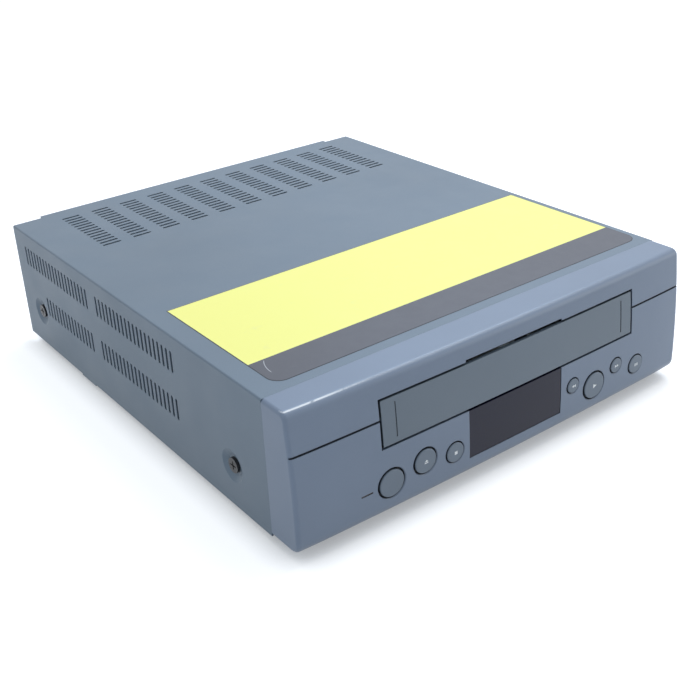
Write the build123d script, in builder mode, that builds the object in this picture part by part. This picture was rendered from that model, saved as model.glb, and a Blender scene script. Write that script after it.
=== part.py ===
from build123d import *
import os
from math import acos, asin, atan2, cos, degrees, pi, radians, sin, sqrt

# A compact front-loading video cassette player: folded steel cover on a steel chassis, a bowed
# plastic front with a flap, window and round buttons, and the tape deck and boards inside.
# Millimetres. +X is the viewer's right, the front faces -Y, +Z is up. The origin is the middle
# of the footprint, on the surface that the feet stand on.

os.makedirs("parts", exist_ok=True)

# ---------------------------------------------------------------- case sizes
case_width = 322.0            # outside of the folded cover
case_depth = 343.0            # cover, from the front seam to its rear edge
case_height = 90.0            # cover, from its lower edge to its top
foot_height = 6.0             # floor to the cover's lower edge
foot_radius = 11.0
foot_inset = 34.0             # foot centre from the side and from the cover's ends
foot_chamfer = 1.0
cover_gauge = 1.0
cover_fold_radius = 1.2       # outside of the two top folds
cover_tab_reach = 4.0         # rear tab of the top, past the side walls
cover_tab_inset = 24.0        # end of the rear tab from the side
hook_length = 22.0            # lower tab of each side wall
hook_drop = 1.2
hook_start = 228.0            # behind the seam

# vents, all cut on one pitch
vent_pitch = 5.45
vent_slot_width = 2.3
side_vent_length = 15.2
side_vent_start = 100.4       # first slot behind the seam
side_vent_count = 20          # slots in a full group
side_vent_short_count = 15    # slots in the lower rear group
side_vent_group_gap = 22      # slots from one group's start to the next one's
side_vent_heights = (37.6, 71.2)   # above the cover's lower edge
top_vent_length = 14.5
top_vent_rows = 14
top_vent_start = 257.2
top_vent_columns = 11
top_vent_column_pitch = 24.6
top_vent_centre = 3.1         # middle column, right of the case's middle

# screws of the cover, in pressed dishes
screw_rim_radius = 11.0
screw_dish_floor_radius = 6.5
screw_dish_depth = 2.4
screw_height = 28.3           # above the cover's lower edge
screw_places = (37.8, 312.5)  # behind the seam
screw_head_radius = 4.9
screw_head_height = 2.0
screw_radius = 1.5
screw_length = 8.0
screw_clearance = 0.15
recess_width = 1.2            # cross recess of a screw head
recess_span = 5.6
recess_depth = 1.1

# chassis and rear panel
chassis_gauge = 1.0
chassis_lift = 1.0            # underside of the chassis above the cover's lower edge
chassis_flange_height = 38.0
chassis_flange_start = 10.0   # behind the seam
chassis_rear_lip = 6.0
rear_panel_gauge = 1.0
rear_panel_inset = 6.0        # outer face ahead of the cover's rear edge
panel_gap = 0.3               # between the rear panel and the cover

# ---------------------------------------------------------------- bezel sizes
bezel_reach = 29.3            # foremost line ahead of the seam
bezel_bow_radius = 5120.0     # plan bow of the front
bezel_corner_radius = 700.0   # plan bow towards each end
bezel_corner_run = 26.0       # width of each end that has the corner's bow
bezel_face_radius = 625.0     # upright bow of the front
bezel_bulge_height = 10.0     # fullest height above the cover's lower edge
bezel_underside = 0.5         # above the cover's lower edge
bezel_top_fillet = 5.0
bezel_bottom_fillet = 8.0
bezel_end_fillet = 2.5
bezel_least_fillet = 1.0      # of an inner corner
bezel_wall = 2.5
bezel_lip = 1.5               # tongue that enters the cover
bezel_lip_length = 8.0
bezel_lip_gap = 0.3
bezel_lip_lift = 0.5          # tongue above the chassis
groove_height = 1.4
groove_depth = 1.5
groove_level = 64.0           # above the cover's lower edge

# cassette slot and flap
slot_centre = 4.8             # right of the case's middle
slot_width = 212.8
slot_sill = 45.4              # above the cover's lower edge
slot_height = 31.8
flap_gap = 1.5
flap_thickness = 2.2
flap_line_offset = 95.0       # upright lines on the flap, from its middle
flap_line_width = 0.9
flap_line_depth = 0.4
flap_line_margin = 3.4
hinge_drop = 2.0              # hinge axis below the slot's top
hinge_inset = 3.6             # hinge axis behind the face, at the flap's ends
hinge_pin_radius = 1.2
hinge_pin_length = 3.4
hinge_pin_root = 1.0          # pin inside the flap's arm
hinge_clearance = 0.05
hinge_lug_width = 3.0
hinge_lug_below = 5.0         # lug past the hinge axis, down, up and to the rear
hinge_lug_above = 4.0
hinge_lug_behind = 4.0
hinge_arm_root = 0.6          # flap's arm inside its panel
hinge_arm_shoulder = 0.4      # flap's arm behind its pin
flap_sweep_gap = 0.4          # between the swinging edge and the sill
grip_width = 80.5             # raised stretch of the slot's top edge
grip_height = 1.4
grip_centre = 3.6

# window and standby light
window_left = -36.1
window_right = 42.9
window_bottom = 12.7          # above the cover's lower edge
window_gap = 0.25
window_recess = 0.3
window_flange = 2.4           # flange behind the wall, past the opening
window_flange_thickness = 1.0
light_x = -113.5
light_height = 21.3           # above the cover's lower edge
light_width = 8.0
light_thickness = 0.9
light_gap = 0.1
light_recess = 0.2            # behind the face

# buttons: name, right of the middle, above the cover's lower edge, hole radius, gap around the cap
button_table = (
    ("power_button", -95.9, 21.8, 9.9, 1.1),
    ("eject_button", -70.8, 26.0, 8.9, 1.0),
    ("stop_button", -47.9, 22.2, 7.1, 0.6),
    ("rewind_button", 54.0, 28.4, 5.6, 0.6),
    ("play_button", 74.5, 20.9, 10.2, 1.1),
    ("fast_forward_button", 96.1, 27.5, 5.7, 0.6),
    ("pause_button", 116.7, 20.9, 7.1, 0.6),
)
button_proud = 0.6
button_travel = 1.2
button_edge_fillet = 0.7
button_collar = 1.3           # retaining collar past the hole
button_collar_length = 1.4
button_collar_gap = 0.5       # behind the wall
button_stem_radius = 2.0
button_hole_chamfer = 0.5

# front board, switches and display
front_board_place = 10.0      # front face ahead of the seam
front_board_gauge = 1.6
front_board_left = -136.0
front_board_right = 136.0
front_board_top = 40.5        # above the cover's lower edge
board_boss_radius = 3.0
board_boss_x = (-128.0, 131.0)
board_boss_levels = (10.0, 35.0)   # above the cover's lower edge
switch_size = 6.0
switch_height = 3.6
switch_plunger_radius = 1.7
switch_plunger_length = 1.2
switch_slack = 0.2            # between a pressed stem and its switch
display_height = 18.0
display_depth = 7.0
display_margin = 5.0
display_chamfer = 1.0
cut_margin = 1.0              # a cutting box past what it cuts
edge_tolerance = 0.01         # for picking edges by their place

# ---------------------------------------------------------------- deck sizes
deck_centre = slot_centre     # the deck is in line with the slot
deck_half_width = 108.0
deck_front = 58.0             # behind the seam
deck_rear = 262.0
deck_level = 30.0             # underside of the deck plate above the floor
deck_gauge = 1.2
post_radius = 4.0
post_inset = 8.0
board_post_radius = 3.0

# cassette carriage
tape_box_width = 188.0        # the cassette that it takes
tape_box_height = 25.0
bridge_clearance = 3.4        # bridge plate above a cassette on the tray
tray_side_gap = 0.75
tray_wall = 1.0
tray_floor_gauge = 0.8
tray_floor_drop = 0.2         # floor's top below the slot's sill
tray_length = 82.0
tray_front = 86.0             # behind the seam, drawn in
tray_strip = 14.0             # front strip of the floor
tray_shelf = 21.75            # side shelf of the floor, beside the cut-out
tray_wall_start = 26.0        # side walls behind the floor's front edge
tray_wall_height = 12.0
tray_pin_radius = 2.0
tray_pin_level = 7.0          # above the floor's top
tray_pins = (34.0, 76.0)      # behind the floor's front edge
tray_pin_reach = 4.6
tray_travel = 100.0           # in and out
tray_lift = 15.0              # up and down
guide_play = 0.5              # pin in its slot
bracket_gap = 0.6
bracket_gauge = 1.2
bracket_front = 12.0
bracket_rear = 178.0
bracket_nose_level = 46.0     # underside of the bracket ahead of the deck, above the floor
slider_gap = 0.4
slider_gauge = 1.2
slider_margin = 6.0           # plate past its slots
slider_pegs = (44.0, 66.0)    # behind the tray's front edge
slider_bar = 8.0              # width of the bar that joins both sliders
slider_bar_rise = 1.4         # above the bridge plate
bracket_foot = 7.5            # width of the foot on the deck
bracket_foot_front = 62.0
bridge_gauge = 1.0
bridge_front = 104.0
bridge_rear = 150.0

# head drum
drum_offset = -8.0            # from the deck's middle
drum_place = 214.0            # behind the seam
drum_radius = 31.0
drum_tilt = 6.0
drum_base_height = 5.0
drum_base_radius = 28.0
lower_drum_height = 9.5
upper_drum_height = 13.0
drum_gap = 0.3
drum_shaft_radius = 3.0
drum_clearance = 0.05
drum_cap_radius = 13.0
drum_cap_height = 4.0
head_count = 4
head_width = 3.0
video_head_length = 4.0
video_head_height = 2.0
head_slot_gap = 0.2

# reels
reel_spacing = 92.0
reel_place = 116.0
reel_spindle_radius = 2.0
reel_rim_radius = 23.4
reel_rim_height = 2.6
reel_rim_lift = 1.0           # rim above the deck
reel_hub_radius = 10.0
reel_hub_height = 10.0
reel_spline_count = 6
reel_spline_width = 2.0
reel_spline_reach = 1.6
running_gap = 0.05            # shaft in its hole, wheel on its collar

# idler, clutch and belt
clutch_place = 136.0
clutch_rim_radius = 9.0
clutch_pulley_radius = 12.0
clutch_shaft_radius = 2.0
clutch_shaft_rise = 1.0       # past the idler arm
idler_radius = 13.2
idler_arm_width = 5.0         # radius of the arm's larger end
idler_arm_small = 3.5
idler_arm_thickness = 1.2
friction_gap = 0.3            # between tyres that press on each other
belt_width = 2.0
belt_thickness = 1.0
belt_play = 0.2
belt_level = 25.0             # above the floor

# capstan and pinch roller
capstan_offset = 62.0
capstan_place = 176.0
capstan_radius = 1.5
capstan_height = 20.0         # above the deck
capstan_pulley_radius = 8.0
flywheel_radius = 26.0
flywheel_height = 6.0
flywheel_gap = 1.0            # above the stator's coils
bearing_radius = 4.0
bearing_bottom = 27.5         # above the floor
bearing_top = 36.0
stator_radius = 34.0
stator_coil_count = 6
stator_coil_radius = 5.0
stator_coil_offset = 15.0
stator_cup_radius = 3.5
stator_cup_height = 3.0
stator_post_offset = 31.0
stator_plate = 1.5
stator_coil_height = 4.0
stator_level = 10.2           # underside above the floor
stator_post_radius = 1.8
pinch_pivot_offset = 88.0
pinch_pivot_place = 196.0
pinch_roller_radius = 6.5
pinch_roller_height = 13.0
pinch_direction = 50.0        # from the capstan to the pressed roller, degrees
pinch_swing = 30.0
pinch_arm_level = 2.6         # above the deck
pinch_arm_thickness = 2.5
pinch_arm_width = 7.0
pinch_pin_radius = 1.5
pinch_clearance = 0.4         # above and below a turning roller

# guides, loading sliders and heads
guide_start = 150.0
guide_end = 205.0
supply_start_offset = -36.0
supply_end_offset = -47.0
take_up_start_offset = 22.0
take_up_end_offset = 31.0
guide_base_length = 16.0
guide_base_width = 9.0
guide_base_height = 3.0
guide_base_gap = 0.3
guide_tongue = 3.4
guide_slot_play = 0.4
guide_post_radius = 1.2
guide_foot = (10.0, 7.0, 1.2) # plate under the deck: length, width, thickness
guide_roller_radius = 3.2
guide_roller_height = 12.6
guide_roller_level = 5.3      # above the deck
guide_cap_radius = 3.0
guide_cap_height = 1.2
tilted_post_offset = 5.6      # behind the roller on the guide's base
tilted_post_radius = 1.0
tilted_post_angle = 14.0
tilted_post_length = 16.0
head_level = 5.5              # underside of a head above the deck
head_stand_radius = 3.0
head_plate = (20.0, 14.0, 2.0)   # width, depth, thickness
erase_head_offset = -66.0
erase_head_place = 186.0
audio_head_offset = 46.0
audio_head_place = 193.0
head_block = 12.0
head_depth = 8.0
head_height = 15.0
tension_pivot_offset = -88.0
tension_pivot_place = 140.0
tension_reach = (26.0, 16.0)  # from the pivot to the tape post
tension_arm_width = 6.0
tension_arm_thickness = 1.6
tension_post_radius = 1.5
tension_post_height = 17.5
tension_arm_gap = 0.4         # above the deck
tension_arm_boss = 1.0        # larger end, past the smaller end's radius
tension_pin_rise = 0.8        # past the arm

# loading drive
cam_offset = -82.0
cam_place = 222.0
cam_teeth = 60
pinion_teeth = 14
gear_module = 0.8
gear_height = 4.0
gear_backlash = 0.12
gear_addendum = 0.8           # of the module
gear_dedendum = 1.25
gear_pressure_angle = 20.0
gear_centre_play = 0.1
gear_lift = 1.0               # above the deck
gear_root_overlap = 0.1       # tooth inside the gear's root circle
gear_flank_steps = 5
pinion_direction = 60.0       # from the cam's middle to the pinion, degrees
motor_radius = 8.0
motor_height = 17.0
motor_shaft_radius = 1.0
motor_shaft_depth = 11.0      # below the deck's underside
cam_post_radius = 2.5
cam_post_rise = 1.5           # past the gear
cam_hub_drop = 0.5            # hub's top below the post's

# boards and sockets
board_level = 14.0            # underside above the floor
board_gauge = 1.6
board_rear_gap = 3.0          # between the board and the rear panel
board_strip_depth = 66.0
board_deck_gap = 6.4          # between the board's left strip and the deck, in plan
board_side_gap = 4.0
board_left_front = 40.0
scart_x = 58.0
scart_width = 50.0
scart_height = 16.0
scart_depth = 22.0
scart_wall = 2.0
scart_cavity_depth = 14.0
scart_insert_recess = 5.0     # insert's face behind the mouth
scart_insert_gap = 3.0        # around the insert
scart_proud = 2.0
socket_gap = 0.3              # socket in the rear panel
phono_x = (6.0, 22.0)
phono_radius = 4.1
phono_bore = 1.65
phono_bore_depth = 8.0
phono_length = 8.6            # past the rear panel
phono_level = 10.0            # axis above the board
phono_body = 12.0
phono_root = 1.0              # barrel inside the body
inlet_x = -112.0
inlet_level = 12.0            # axis above the board
inlet_width = 22.0
inlet_height = 15.0
inlet_depth = 20.0
inlet_flange = 2.0            # past the body, all round
inlet_proud = 1.5
inlet_cavity_width = 13.6
inlet_cavity_height = 7.6
inlet_cavity_depth = 11.0
inlet_pin_radius = 1.1
inlet_pin_spacing = 8.6
inlet_pin_length = 9.0
transformer_core = (44.0, 18.0, 34.0)   # width, depth, height
transformer_coil = (29.4, 36.0, 22.6)
transformer_x = -112.0
transformer_rear_gap = 47.0   # middle ahead of the board's rear edge
# on the board's rear part: right of the middle, ahead of the rear edge, radius, height
rear_capacitors = (
    (-72.0, 45.0, 8.0, 25.0),
    (-50.0, 47.0, 6.3, 20.0),
    (-34.0, 33.0, 5.0, 14.0),
    (104.0, 21.0, 5.0, 12.0),
    (118.0, 43.0, 6.3, 16.0),
)
# on the board's rear part: right of the middle, ahead of the rear edge, width, depth, height
rear_blocks = (
    (-20.0, 51.0, 16.0, 22.0, 3.5),
    (44.0, 47.0, 30.0, 12.0, 4.0),
    (92.0, 49.0, 18.0, 18.0, 3.0),
    (-60.0, 15.0, 26.0, 10.0, 22.0),
)
# on the board's left strip: right of the strip's middle, behind the seam, radius, height
strip_capacitors = (
    (-7.0, 78.0, 4.0, 11.0),
    (7.0, 150.0, 5.0, 12.0),
)
# on the board's left strip: right of the strip's middle, behind the seam, width, depth, height
strip_blocks = (
    (1.0, 112.0, 14.0, 34.0, 4.0),
    (1.0, 196.0, 20.0, 26.0, 3.5),
    (-3.0, 240.0, 12.0, 12.0, 14.0),
)
shield_size = (52.0, 10.0, 20.0)
shield_place = 255.0
shield_wall = 0.6
label_left = -146.0
label_right = 156.0
label_front = 8.0             # behind the seam
label_rear = 129.0
label_corner = 9.0            # of the two front corners
label_gauge = 0.15

# ---------------------------------------------------------------- places


def face_fall(x, level):
    """How far the bezel's face lies behind its foremost line, at a height over the cover's edge."""
    upright = bezel_face_radius - sqrt(bezel_face_radius**2 - (level - bezel_bulge_height) ** 2)
    plan = bezel_bow_radius - sqrt(bezel_bow_radius**2 - x**2)
    return upright + plan


button_overreach = max(button_proud - face_fall(x, level) for name, x, level, _, _ in button_table)
overall_depth = button_overreach + bezel_reach + case_depth + cover_tab_reach
y_front = button_overreach - overall_depth / 2
y_seam = y_front + bezel_reach
y_cover_rear = y_seam + case_depth
z_case = foot_height
z_top = z_case + case_height
half_width = case_width / 2
half_inside = half_width - cover_gauge
z_chassis = z_case + chassis_lift
z_floor = z_chassis + chassis_gauge
half_chassis = half_inside - screw_dish_depth
z_screw = z_case + screw_height
y_panel_rear = y_cover_rear - rear_panel_inset
y_panel_front = y_panel_rear - rear_panel_gauge

z_bulge = z_case + bezel_bulge_height
z_bezel_under = z_case + bezel_underside
bow_centre_y = y_front + bezel_bow_radius
bow_turn = degrees(asin((half_width - bezel_corner_run) / bezel_bow_radius))
corner_turn = 2 * degrees(asin(bezel_corner_run / bezel_corner_radius))   # well past the end

z_sill = z_case + slot_sill
z_slot_top = z_sill + slot_height
slot_left = slot_centre - slot_width / 2
slot_right = slot_centre + slot_width / 2
z_hinge = z_slot_top - hinge_drop

deck_top = deck_level + deck_gauge
y_deck_front = y_seam + deck_front
y_deck_rear = y_seam + deck_rear
board_top = board_level + board_gauge
y_front_board = y_seam - front_board_place

tray_inner = tape_box_width / 2 + tray_side_gap
tray_outer = tray_inner + tray_wall
z_tray = z_sill - tray_floor_drop
z_tray_pin = z_tray + tray_pin_level
y_tray = y_seam + tray_front
bracket_inner = tray_outer + bracket_gap
bracket_outer = bracket_inner + bracket_gauge
slider_inner = bracket_outer + slider_gap
z_bracket_top = z_tray + tape_box_height + bridge_clearance


def face_y(x, z):
    """Y of the bezel's outer face at a place on it."""
    return y_front + face_fall(x, z - z_case)


def deck_point(offset, place):
    """Plan place of something on the deck."""
    return (deck_centre + offset, y_seam + place)


def facing_rear(x, y, z):
    """Plane at a place, looking towards the rear."""
    return Plane(origin=(x, y, z), x_dir=(1, 0, 0), z_dir=(0, 1, 0))


def facing_front(x, y, z):
    """Plane at a place, looking towards the front."""
    return Plane(origin=(x, y, z), x_dir=(1, 0, 0), z_dir=(0, -1, 0))


def box_between(low, high, mode=Mode.ADD):
    """A box from its lowest to its highest corner, in the current part."""
    size = [high[i] - low[i] for i in range(3)]
    middle = tuple((high[i] + low[i]) / 2 for i in range(3))
    with Locations(middle):
        Box(*size, mode=mode)


def write(part, name):
    """Label a finished piece and write its file."""
    part.label = name
    export_step(part, f"parts/{name}.step")


# ---------------------------------------------------------------- cover and chassis
side_vents = []
for vent_level in side_vent_heights:
    for group in range(2):
        short = group == 1 and vent_level == min(side_vent_heights)
        for slot in range(side_vent_short_count if short else side_vent_count):
            vent_place = y_seam + side_vent_start + (slot + group * side_vent_group_gap) * vent_pitch
            side_vents.append((vent_place, z_case + vent_level))

top_vents = []
for column in range(top_vent_columns):
    vent_x = top_vent_centre + (column - (top_vent_columns - 1) / 2) * top_vent_column_pitch
    for row in range(top_vent_rows):
        top_vents.append((vent_x, y_seam + top_vent_start + row * vent_pitch))

screw_planes = []
for side in (-1, 1):
    for place in screw_places:
        screw_planes.append(
            Plane(origin=(side * half_width, y_seam + place, z_screw), z_dir=(-side, 0, 0))
        )

with BuildPart() as top_cover:
    with BuildSketch(facing_front(0, y_cover_rear, 0)) as cover_section:
        with Locations((0, (z_case + z_top) / 2)):
            Rectangle(case_width, case_height)
        fillet(cover_section.vertices().group_by(Axis.Y)[-1], cover_fold_radius)
        with Locations((0, (z_case + z_top) / 2 - cover_gauge)):
            Rectangle(case_width - 2 * cover_gauge, case_height, mode=Mode.SUBTRACT)
    extrude(amount=case_depth)
    box_between(
        (-half_width + cover_tab_inset, y_cover_rear - cover_gauge, z_top - cover_gauge),
        (half_width - cover_tab_inset, y_cover_rear + cover_tab_reach, z_top),
    )
    for side in (-1, 1):
        wall_middle = side * (half_width - cover_gauge / 2)
        box_between(
            (wall_middle - cover_gauge / 2, y_seam + hook_start, z_case - hook_drop),
            (wall_middle + cover_gauge / 2, y_seam + hook_start + hook_length, z_case + cover_gauge),
        )
    with Locations(*screw_planes):
        Cone(
            screw_rim_radius + cover_gauge / 2,
            screw_dish_floor_radius + cover_gauge / 2,
            screw_dish_depth + cover_gauge,
            align=(Align.CENTER, Align.CENTER, Align.MIN),
        )
    with Locations(*screw_planes):
        Cone(
            screw_rim_radius,
            screw_dish_floor_radius,
            screw_dish_depth,
            align=(Align.CENTER, Align.CENTER, Align.MIN),
            mode=Mode.SUBTRACT,
        )
        Cylinder(
            screw_radius + screw_clearance,
            4 * (screw_dish_depth + cover_gauge),
            mode=Mode.SUBTRACT,
        )
    with BuildSketch(Plane.YZ):
        with Locations(*side_vents):
            SlotOverall(side_vent_length, vent_slot_width, rotation=90)
    extrude(amount=case_width, both=True, mode=Mode.SUBTRACT)
    with BuildSketch(Plane.XY.offset(z_top - 2 * cover_gauge)):
        with Locations(*top_vents):
            SlotOverall(top_vent_length, vent_slot_width)
    extrude(amount=4 * cover_gauge, mode=Mode.SUBTRACT)
write(top_cover.part, "top_cover")

with BuildPart() as bottom_chassis:
    box_between((-half_chassis, y_seam, z_chassis), (half_chassis, y_panel_front, z_floor))
    for side in (-1, 1):
        flange_middle = side * (half_chassis - chassis_gauge / 2)
        box_between(
            (flange_middle - chassis_gauge / 2, y_seam + chassis_flange_start, z_chassis),
            (flange_middle + chassis_gauge / 2, y_panel_front, z_chassis + chassis_flange_height),
        )
    box_between(
        (-half_chassis, y_panel_front - chassis_gauge, z_chassis),
        (half_chassis, y_panel_front, z_floor + chassis_rear_lip),
    )
    with Locations(*screw_planes):
        Cylinder(screw_radius + screw_clearance, 4 * screw_rim_radius, mode=Mode.SUBTRACT)
write(bottom_chassis.part, "bottom_chassis")

foot_places = []
for side in (-1, 1):
    foot_places.append((side * (half_width - foot_inset), y_seam + foot_inset))
    foot_places.append((side * (half_width - foot_inset), y_cover_rear - foot_inset))

with BuildPart() as feet:
    with BuildSketch(Plane.XY):
        with Locations(*foot_places):
            Circle(foot_radius)
    extrude(amount=z_chassis)
    chamfer(feet.edges().group_by(Axis.Z)[0], foot_chamfer)
write(feet.part, "feet")

with BuildPart() as cover_screws:
    with Locations(*[plane.offset(screw_dish_depth - screw_head_height) for plane in screw_planes]):
        Cylinder(
            screw_head_radius, screw_head_height, align=(Align.CENTER, Align.CENTER, Align.MIN)
        )
        Cylinder(
            screw_radius,
            screw_head_height + screw_length,
            align=(Align.CENTER, Align.CENTER, Align.MIN),
        )
        Box(
            recess_width,
            recess_span,
            recess_depth,
            align=(Align.CENTER, Align.CENTER, Align.MIN),
            mode=Mode.SUBTRACT,
        )
        Box(
            recess_span,
            recess_width,
            recess_depth,
            align=(Align.CENTER, Align.CENTER, Align.MIN),
            mode=Mode.SUBTRACT,
        )
write(cover_screws.part, "cover_screws")

with BuildPart() as top_label:
    label_middle = ((label_left + label_right) / 2, y_seam + (label_front + label_rear) / 2)
    with BuildSketch(Plane.XY.offset(z_top)):
        with Locations(label_middle):
            sheet = Rectangle(label_right - label_left, label_rear - label_front)
        fillet(sheet.vertices().group_by(Axis.Y)[0], label_corner)
    extrude(amount=label_gauge)
write(top_label.part, "top_label")

# ---------------------------------------------------------------- bezel
bezel_section_height = z_top - z_bezel_under
bezel_section_run = 4 * bezel_reach


def bow_centre(turn, radius):
    """Plan centre of a bow that meets the front's main bow at a turn to the left, in degrees."""
    reach = bezel_bow_radius - radius
    return (-reach * sin(radians(turn)), bow_centre_y - reach * cos(radians(turn)))


left_bow_centre = bow_centre(bow_turn, bezel_corner_radius)
right_bow_centre = bow_centre(-bow_turn, bezel_corner_radius)
# the front's plan from left to right: centre, radius, start to the left in degrees, sweep
bezel_bows = (
    (left_bow_centre, bezel_corner_radius, bow_turn + corner_turn, corner_turn),
    ((0, bow_centre_y), bezel_bow_radius, bow_turn, 2 * bow_turn),
    (right_bow_centre, bezel_corner_radius, -bow_turn, corner_turn),
)


def side_plane(centre, turn):
    """Upright plane through a bow's centre, at a turn to the left: local X runs to the front."""
    leftward = radians(turn)
    return Plane(
        origin=(*centre, 0),
        x_dir=(-sin(leftward), -cos(leftward), 0),
        z_dir=(-cos(leftward), sin(leftward), 0),
    )


def bezel_section(plane, radius, inset):
    """Side section of the bezel's outside, taken in all round by an inset."""
    with BuildSketch(plane) as section:
        with Locations((radius - bezel_face_radius, z_bulge)):
            Circle(bezel_face_radius - inset)
        with Locations((radius, z_bezel_under + bezel_section_height / 2)):
            Rectangle(bezel_section_run, bezel_section_height - 2 * inset, mode=Mode.INTERSECT)
        upper = section.vertices().sort_by(lambda corner: corner.X + corner.Y)[-1]
        fillet(upper, max(bezel_top_fillet - inset, bezel_least_fillet))
        lower = section.vertices().sort_by(lambda corner: corner.X - corner.Y)[-1]
        fillet(lower, max(bezel_bottom_fillet - inset, bezel_least_fillet))
    return section.sketch


def groove_section(plane, radius):
    """Side section of the groove across the bezel's face."""
    with BuildSketch(plane) as section:
        with Locations((radius - (face_y(0, z_groove) - y_front), z_groove)):
            Rectangle(2 * groove_depth, groove_height)
    return section.sketch


def bowed_block(inset, low, high):
    """What lies behind the bezel's face, taken in by an inset, between two corners (x, y, z)."""
    with BuildPart() as block:
        for centre, radius, start, sweep in bezel_bows:
            section = bezel_section(side_plane(centre, start), radius, inset)
            revolve(section, axis=Axis((*centre, 0), (0, 0, 1)), revolution_arc=sweep)
        box_between(low, high, mode=Mode.INTERSECT)
    return block.part


def bowed_layer(inset, thickness, low, high):
    """A layer of the bezel's face from an inset to a thickness past it, between two corners."""
    outside = bowed_block(inset, low, high)
    inside = bowed_block(inset + thickness, low, high)
    with BuildPart() as layer:
        add(outside)
        add(inside, mode=Mode.SUBTRACT)
    return layer.part


z_groove = z_case + groove_level
y_ahead = y_front - cut_margin
bezel_outside = bowed_block(0, (-half_width, y_ahead, 0), (half_width, y_seam, 2 * z_top))
bezel_inside = bowed_block(
    bezel_wall,
    (-half_width + bezel_wall, y_ahead, 0),
    (half_width - bezel_wall, y_seam, 2 * z_top),
)
y_hinge = face_y(slot_right, z_hinge) + hinge_inset
lug_low = z_hinge - hinge_lug_below
lug_high = z_hinge + hinge_lug_above
lug_front = face_y(slot_right, lug_high) + bezel_wall / 3
lug_rear = y_hinge + hinge_lug_behind
window_low = z_case + window_bottom
z_light = z_case + light_height

with BuildPart() as front_bezel:
    add(bezel_outside)
    end_faces = front_bezel.faces().filter_by(Axis.X)
    end_edges = end_faces.edges().filter_by(lambda edge: edge.center().Y < y_seam - edge_tolerance)
    fillet(end_edges, bezel_end_fillet)
    for centre, radius, start, sweep in bezel_bows:
        revolve(
            groove_section(side_plane(centre, start), radius),
            axis=Axis((*centre, 0), (0, 0, 1)),
            revolution_arc=sweep,
            mode=Mode.SUBTRACT,
        )
    add(bezel_inside, mode=Mode.SUBTRACT)
    with BuildSketch(facing_front(0, y_seam + bezel_lip_length, 0)):
        lip_half = half_inside - bezel_lip_gap
        lip_low = z_floor + bezel_lip_lift
        lip_top = z_top - cover_gauge - bezel_lip_gap
        with Locations((0, (lip_low + lip_top) / 2)):
            Rectangle(2 * lip_half, lip_top - lip_low)
            Rectangle(
                2 * (lip_half - bezel_lip),
                lip_top - lip_low - 2 * bezel_lip,
                mode=Mode.SUBTRACT,
            )
    extrude(amount=bezel_lip_length + bezel_wall)
    box_between((slot_left, y_ahead, z_sill), (slot_right, y_seam, z_slot_top), Mode.SUBTRACT)
    grip_left = grip_centre - grip_width / 2
    box_between(
        (grip_left, y_ahead, z_slot_top - cut_margin),
        (grip_left + grip_width, y_seam, z_slot_top + grip_height),
        Mode.SUBTRACT,
    )
    box_between(
        (window_left, y_ahead, window_low),
        (window_right, y_seam, z_sill + cut_margin),
        Mode.SUBTRACT,
    )
    slit_half_width = light_width / 2 + light_gap
    slit_half_height = light_thickness / 2 + light_gap
    box_between(
        (light_x - slit_half_width, y_ahead, z_light - slit_half_height),
        (light_x + slit_half_width, y_front_board, z_light + slit_half_height),
        Mode.SUBTRACT,
    )
    for name, x, level, hole_radius, gap in button_table:
        with Locations(facing_rear(x, face_y(x, z_case + level) - bezel_wall, z_case + level)):
            Cylinder(
                hole_radius,
                4 * bezel_wall,
                align=(Align.CENTER, Align.CENTER, Align.MIN),
                mode=Mode.SUBTRACT,
            )
        with Locations(facing_rear(x, face_y(x, z_case + level) - button_hole_chamfer, z_case + level)):
            Cone(
                hole_radius + 2 * button_hole_chamfer,
                hole_radius,
                2 * button_hole_chamfer,
                align=(Align.CENTER, Align.CENTER, Align.MIN),
                mode=Mode.SUBTRACT,
            )
    for boss_x in board_boss_x:
        for level in board_boss_levels:
            boss_front = face_y(boss_x, z_case + level) + bezel_wall / 2
            with BuildSketch(facing_rear(boss_x, boss_front, z_case + level)):
                Circle(board_boss_radius)
            extrude(amount=y_front_board - boss_front)
    box_between((slot_left - hinge_lug_width, lug_front, lug_low), (slot_left, lug_rear, lug_high))
    box_between((slot_right, lug_front, lug_low), (slot_right + hinge_lug_width, lug_rear, lug_high))
    with Locations(Plane(origin=(slot_centre, y_hinge, z_hinge), z_dir=(1, 0, 0))):
        Cylinder(
            hinge_pin_radius + hinge_clearance,
            slot_width + 2 * (hinge_lug_width + cut_margin),
            mode=Mode.SUBTRACT,
        )
write(front_bezel.part, "front_bezel")

# ---------------------------------------------------------------- flap, window and light
flap_left = slot_left + flap_gap
flap_right = slot_right - flap_gap
flap_low = z_sill + flap_gap
flap_high = z_slot_top - flap_gap
flap_panel = bowed_layer(
    0, flap_thickness, (flap_left, y_ahead, flap_low), (flap_right, y_seam, flap_high)
)
flap_lines = [
    bowed_layer(
        0,
        flap_line_depth,
        (slot_centre + side * flap_line_offset - flap_line_width / 2, y_ahead, flap_low + flap_line_margin),
        (slot_centre + side * flap_line_offset + flap_line_width / 2, y_seam, flap_high - flap_line_margin),
    )
    for side in (-1, 1)
]
arm_front = y_hinge - hinge_inset + flap_thickness - hinge_arm_root
arm_rear = y_hinge + hinge_pin_radius + hinge_arm_shoulder

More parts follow.
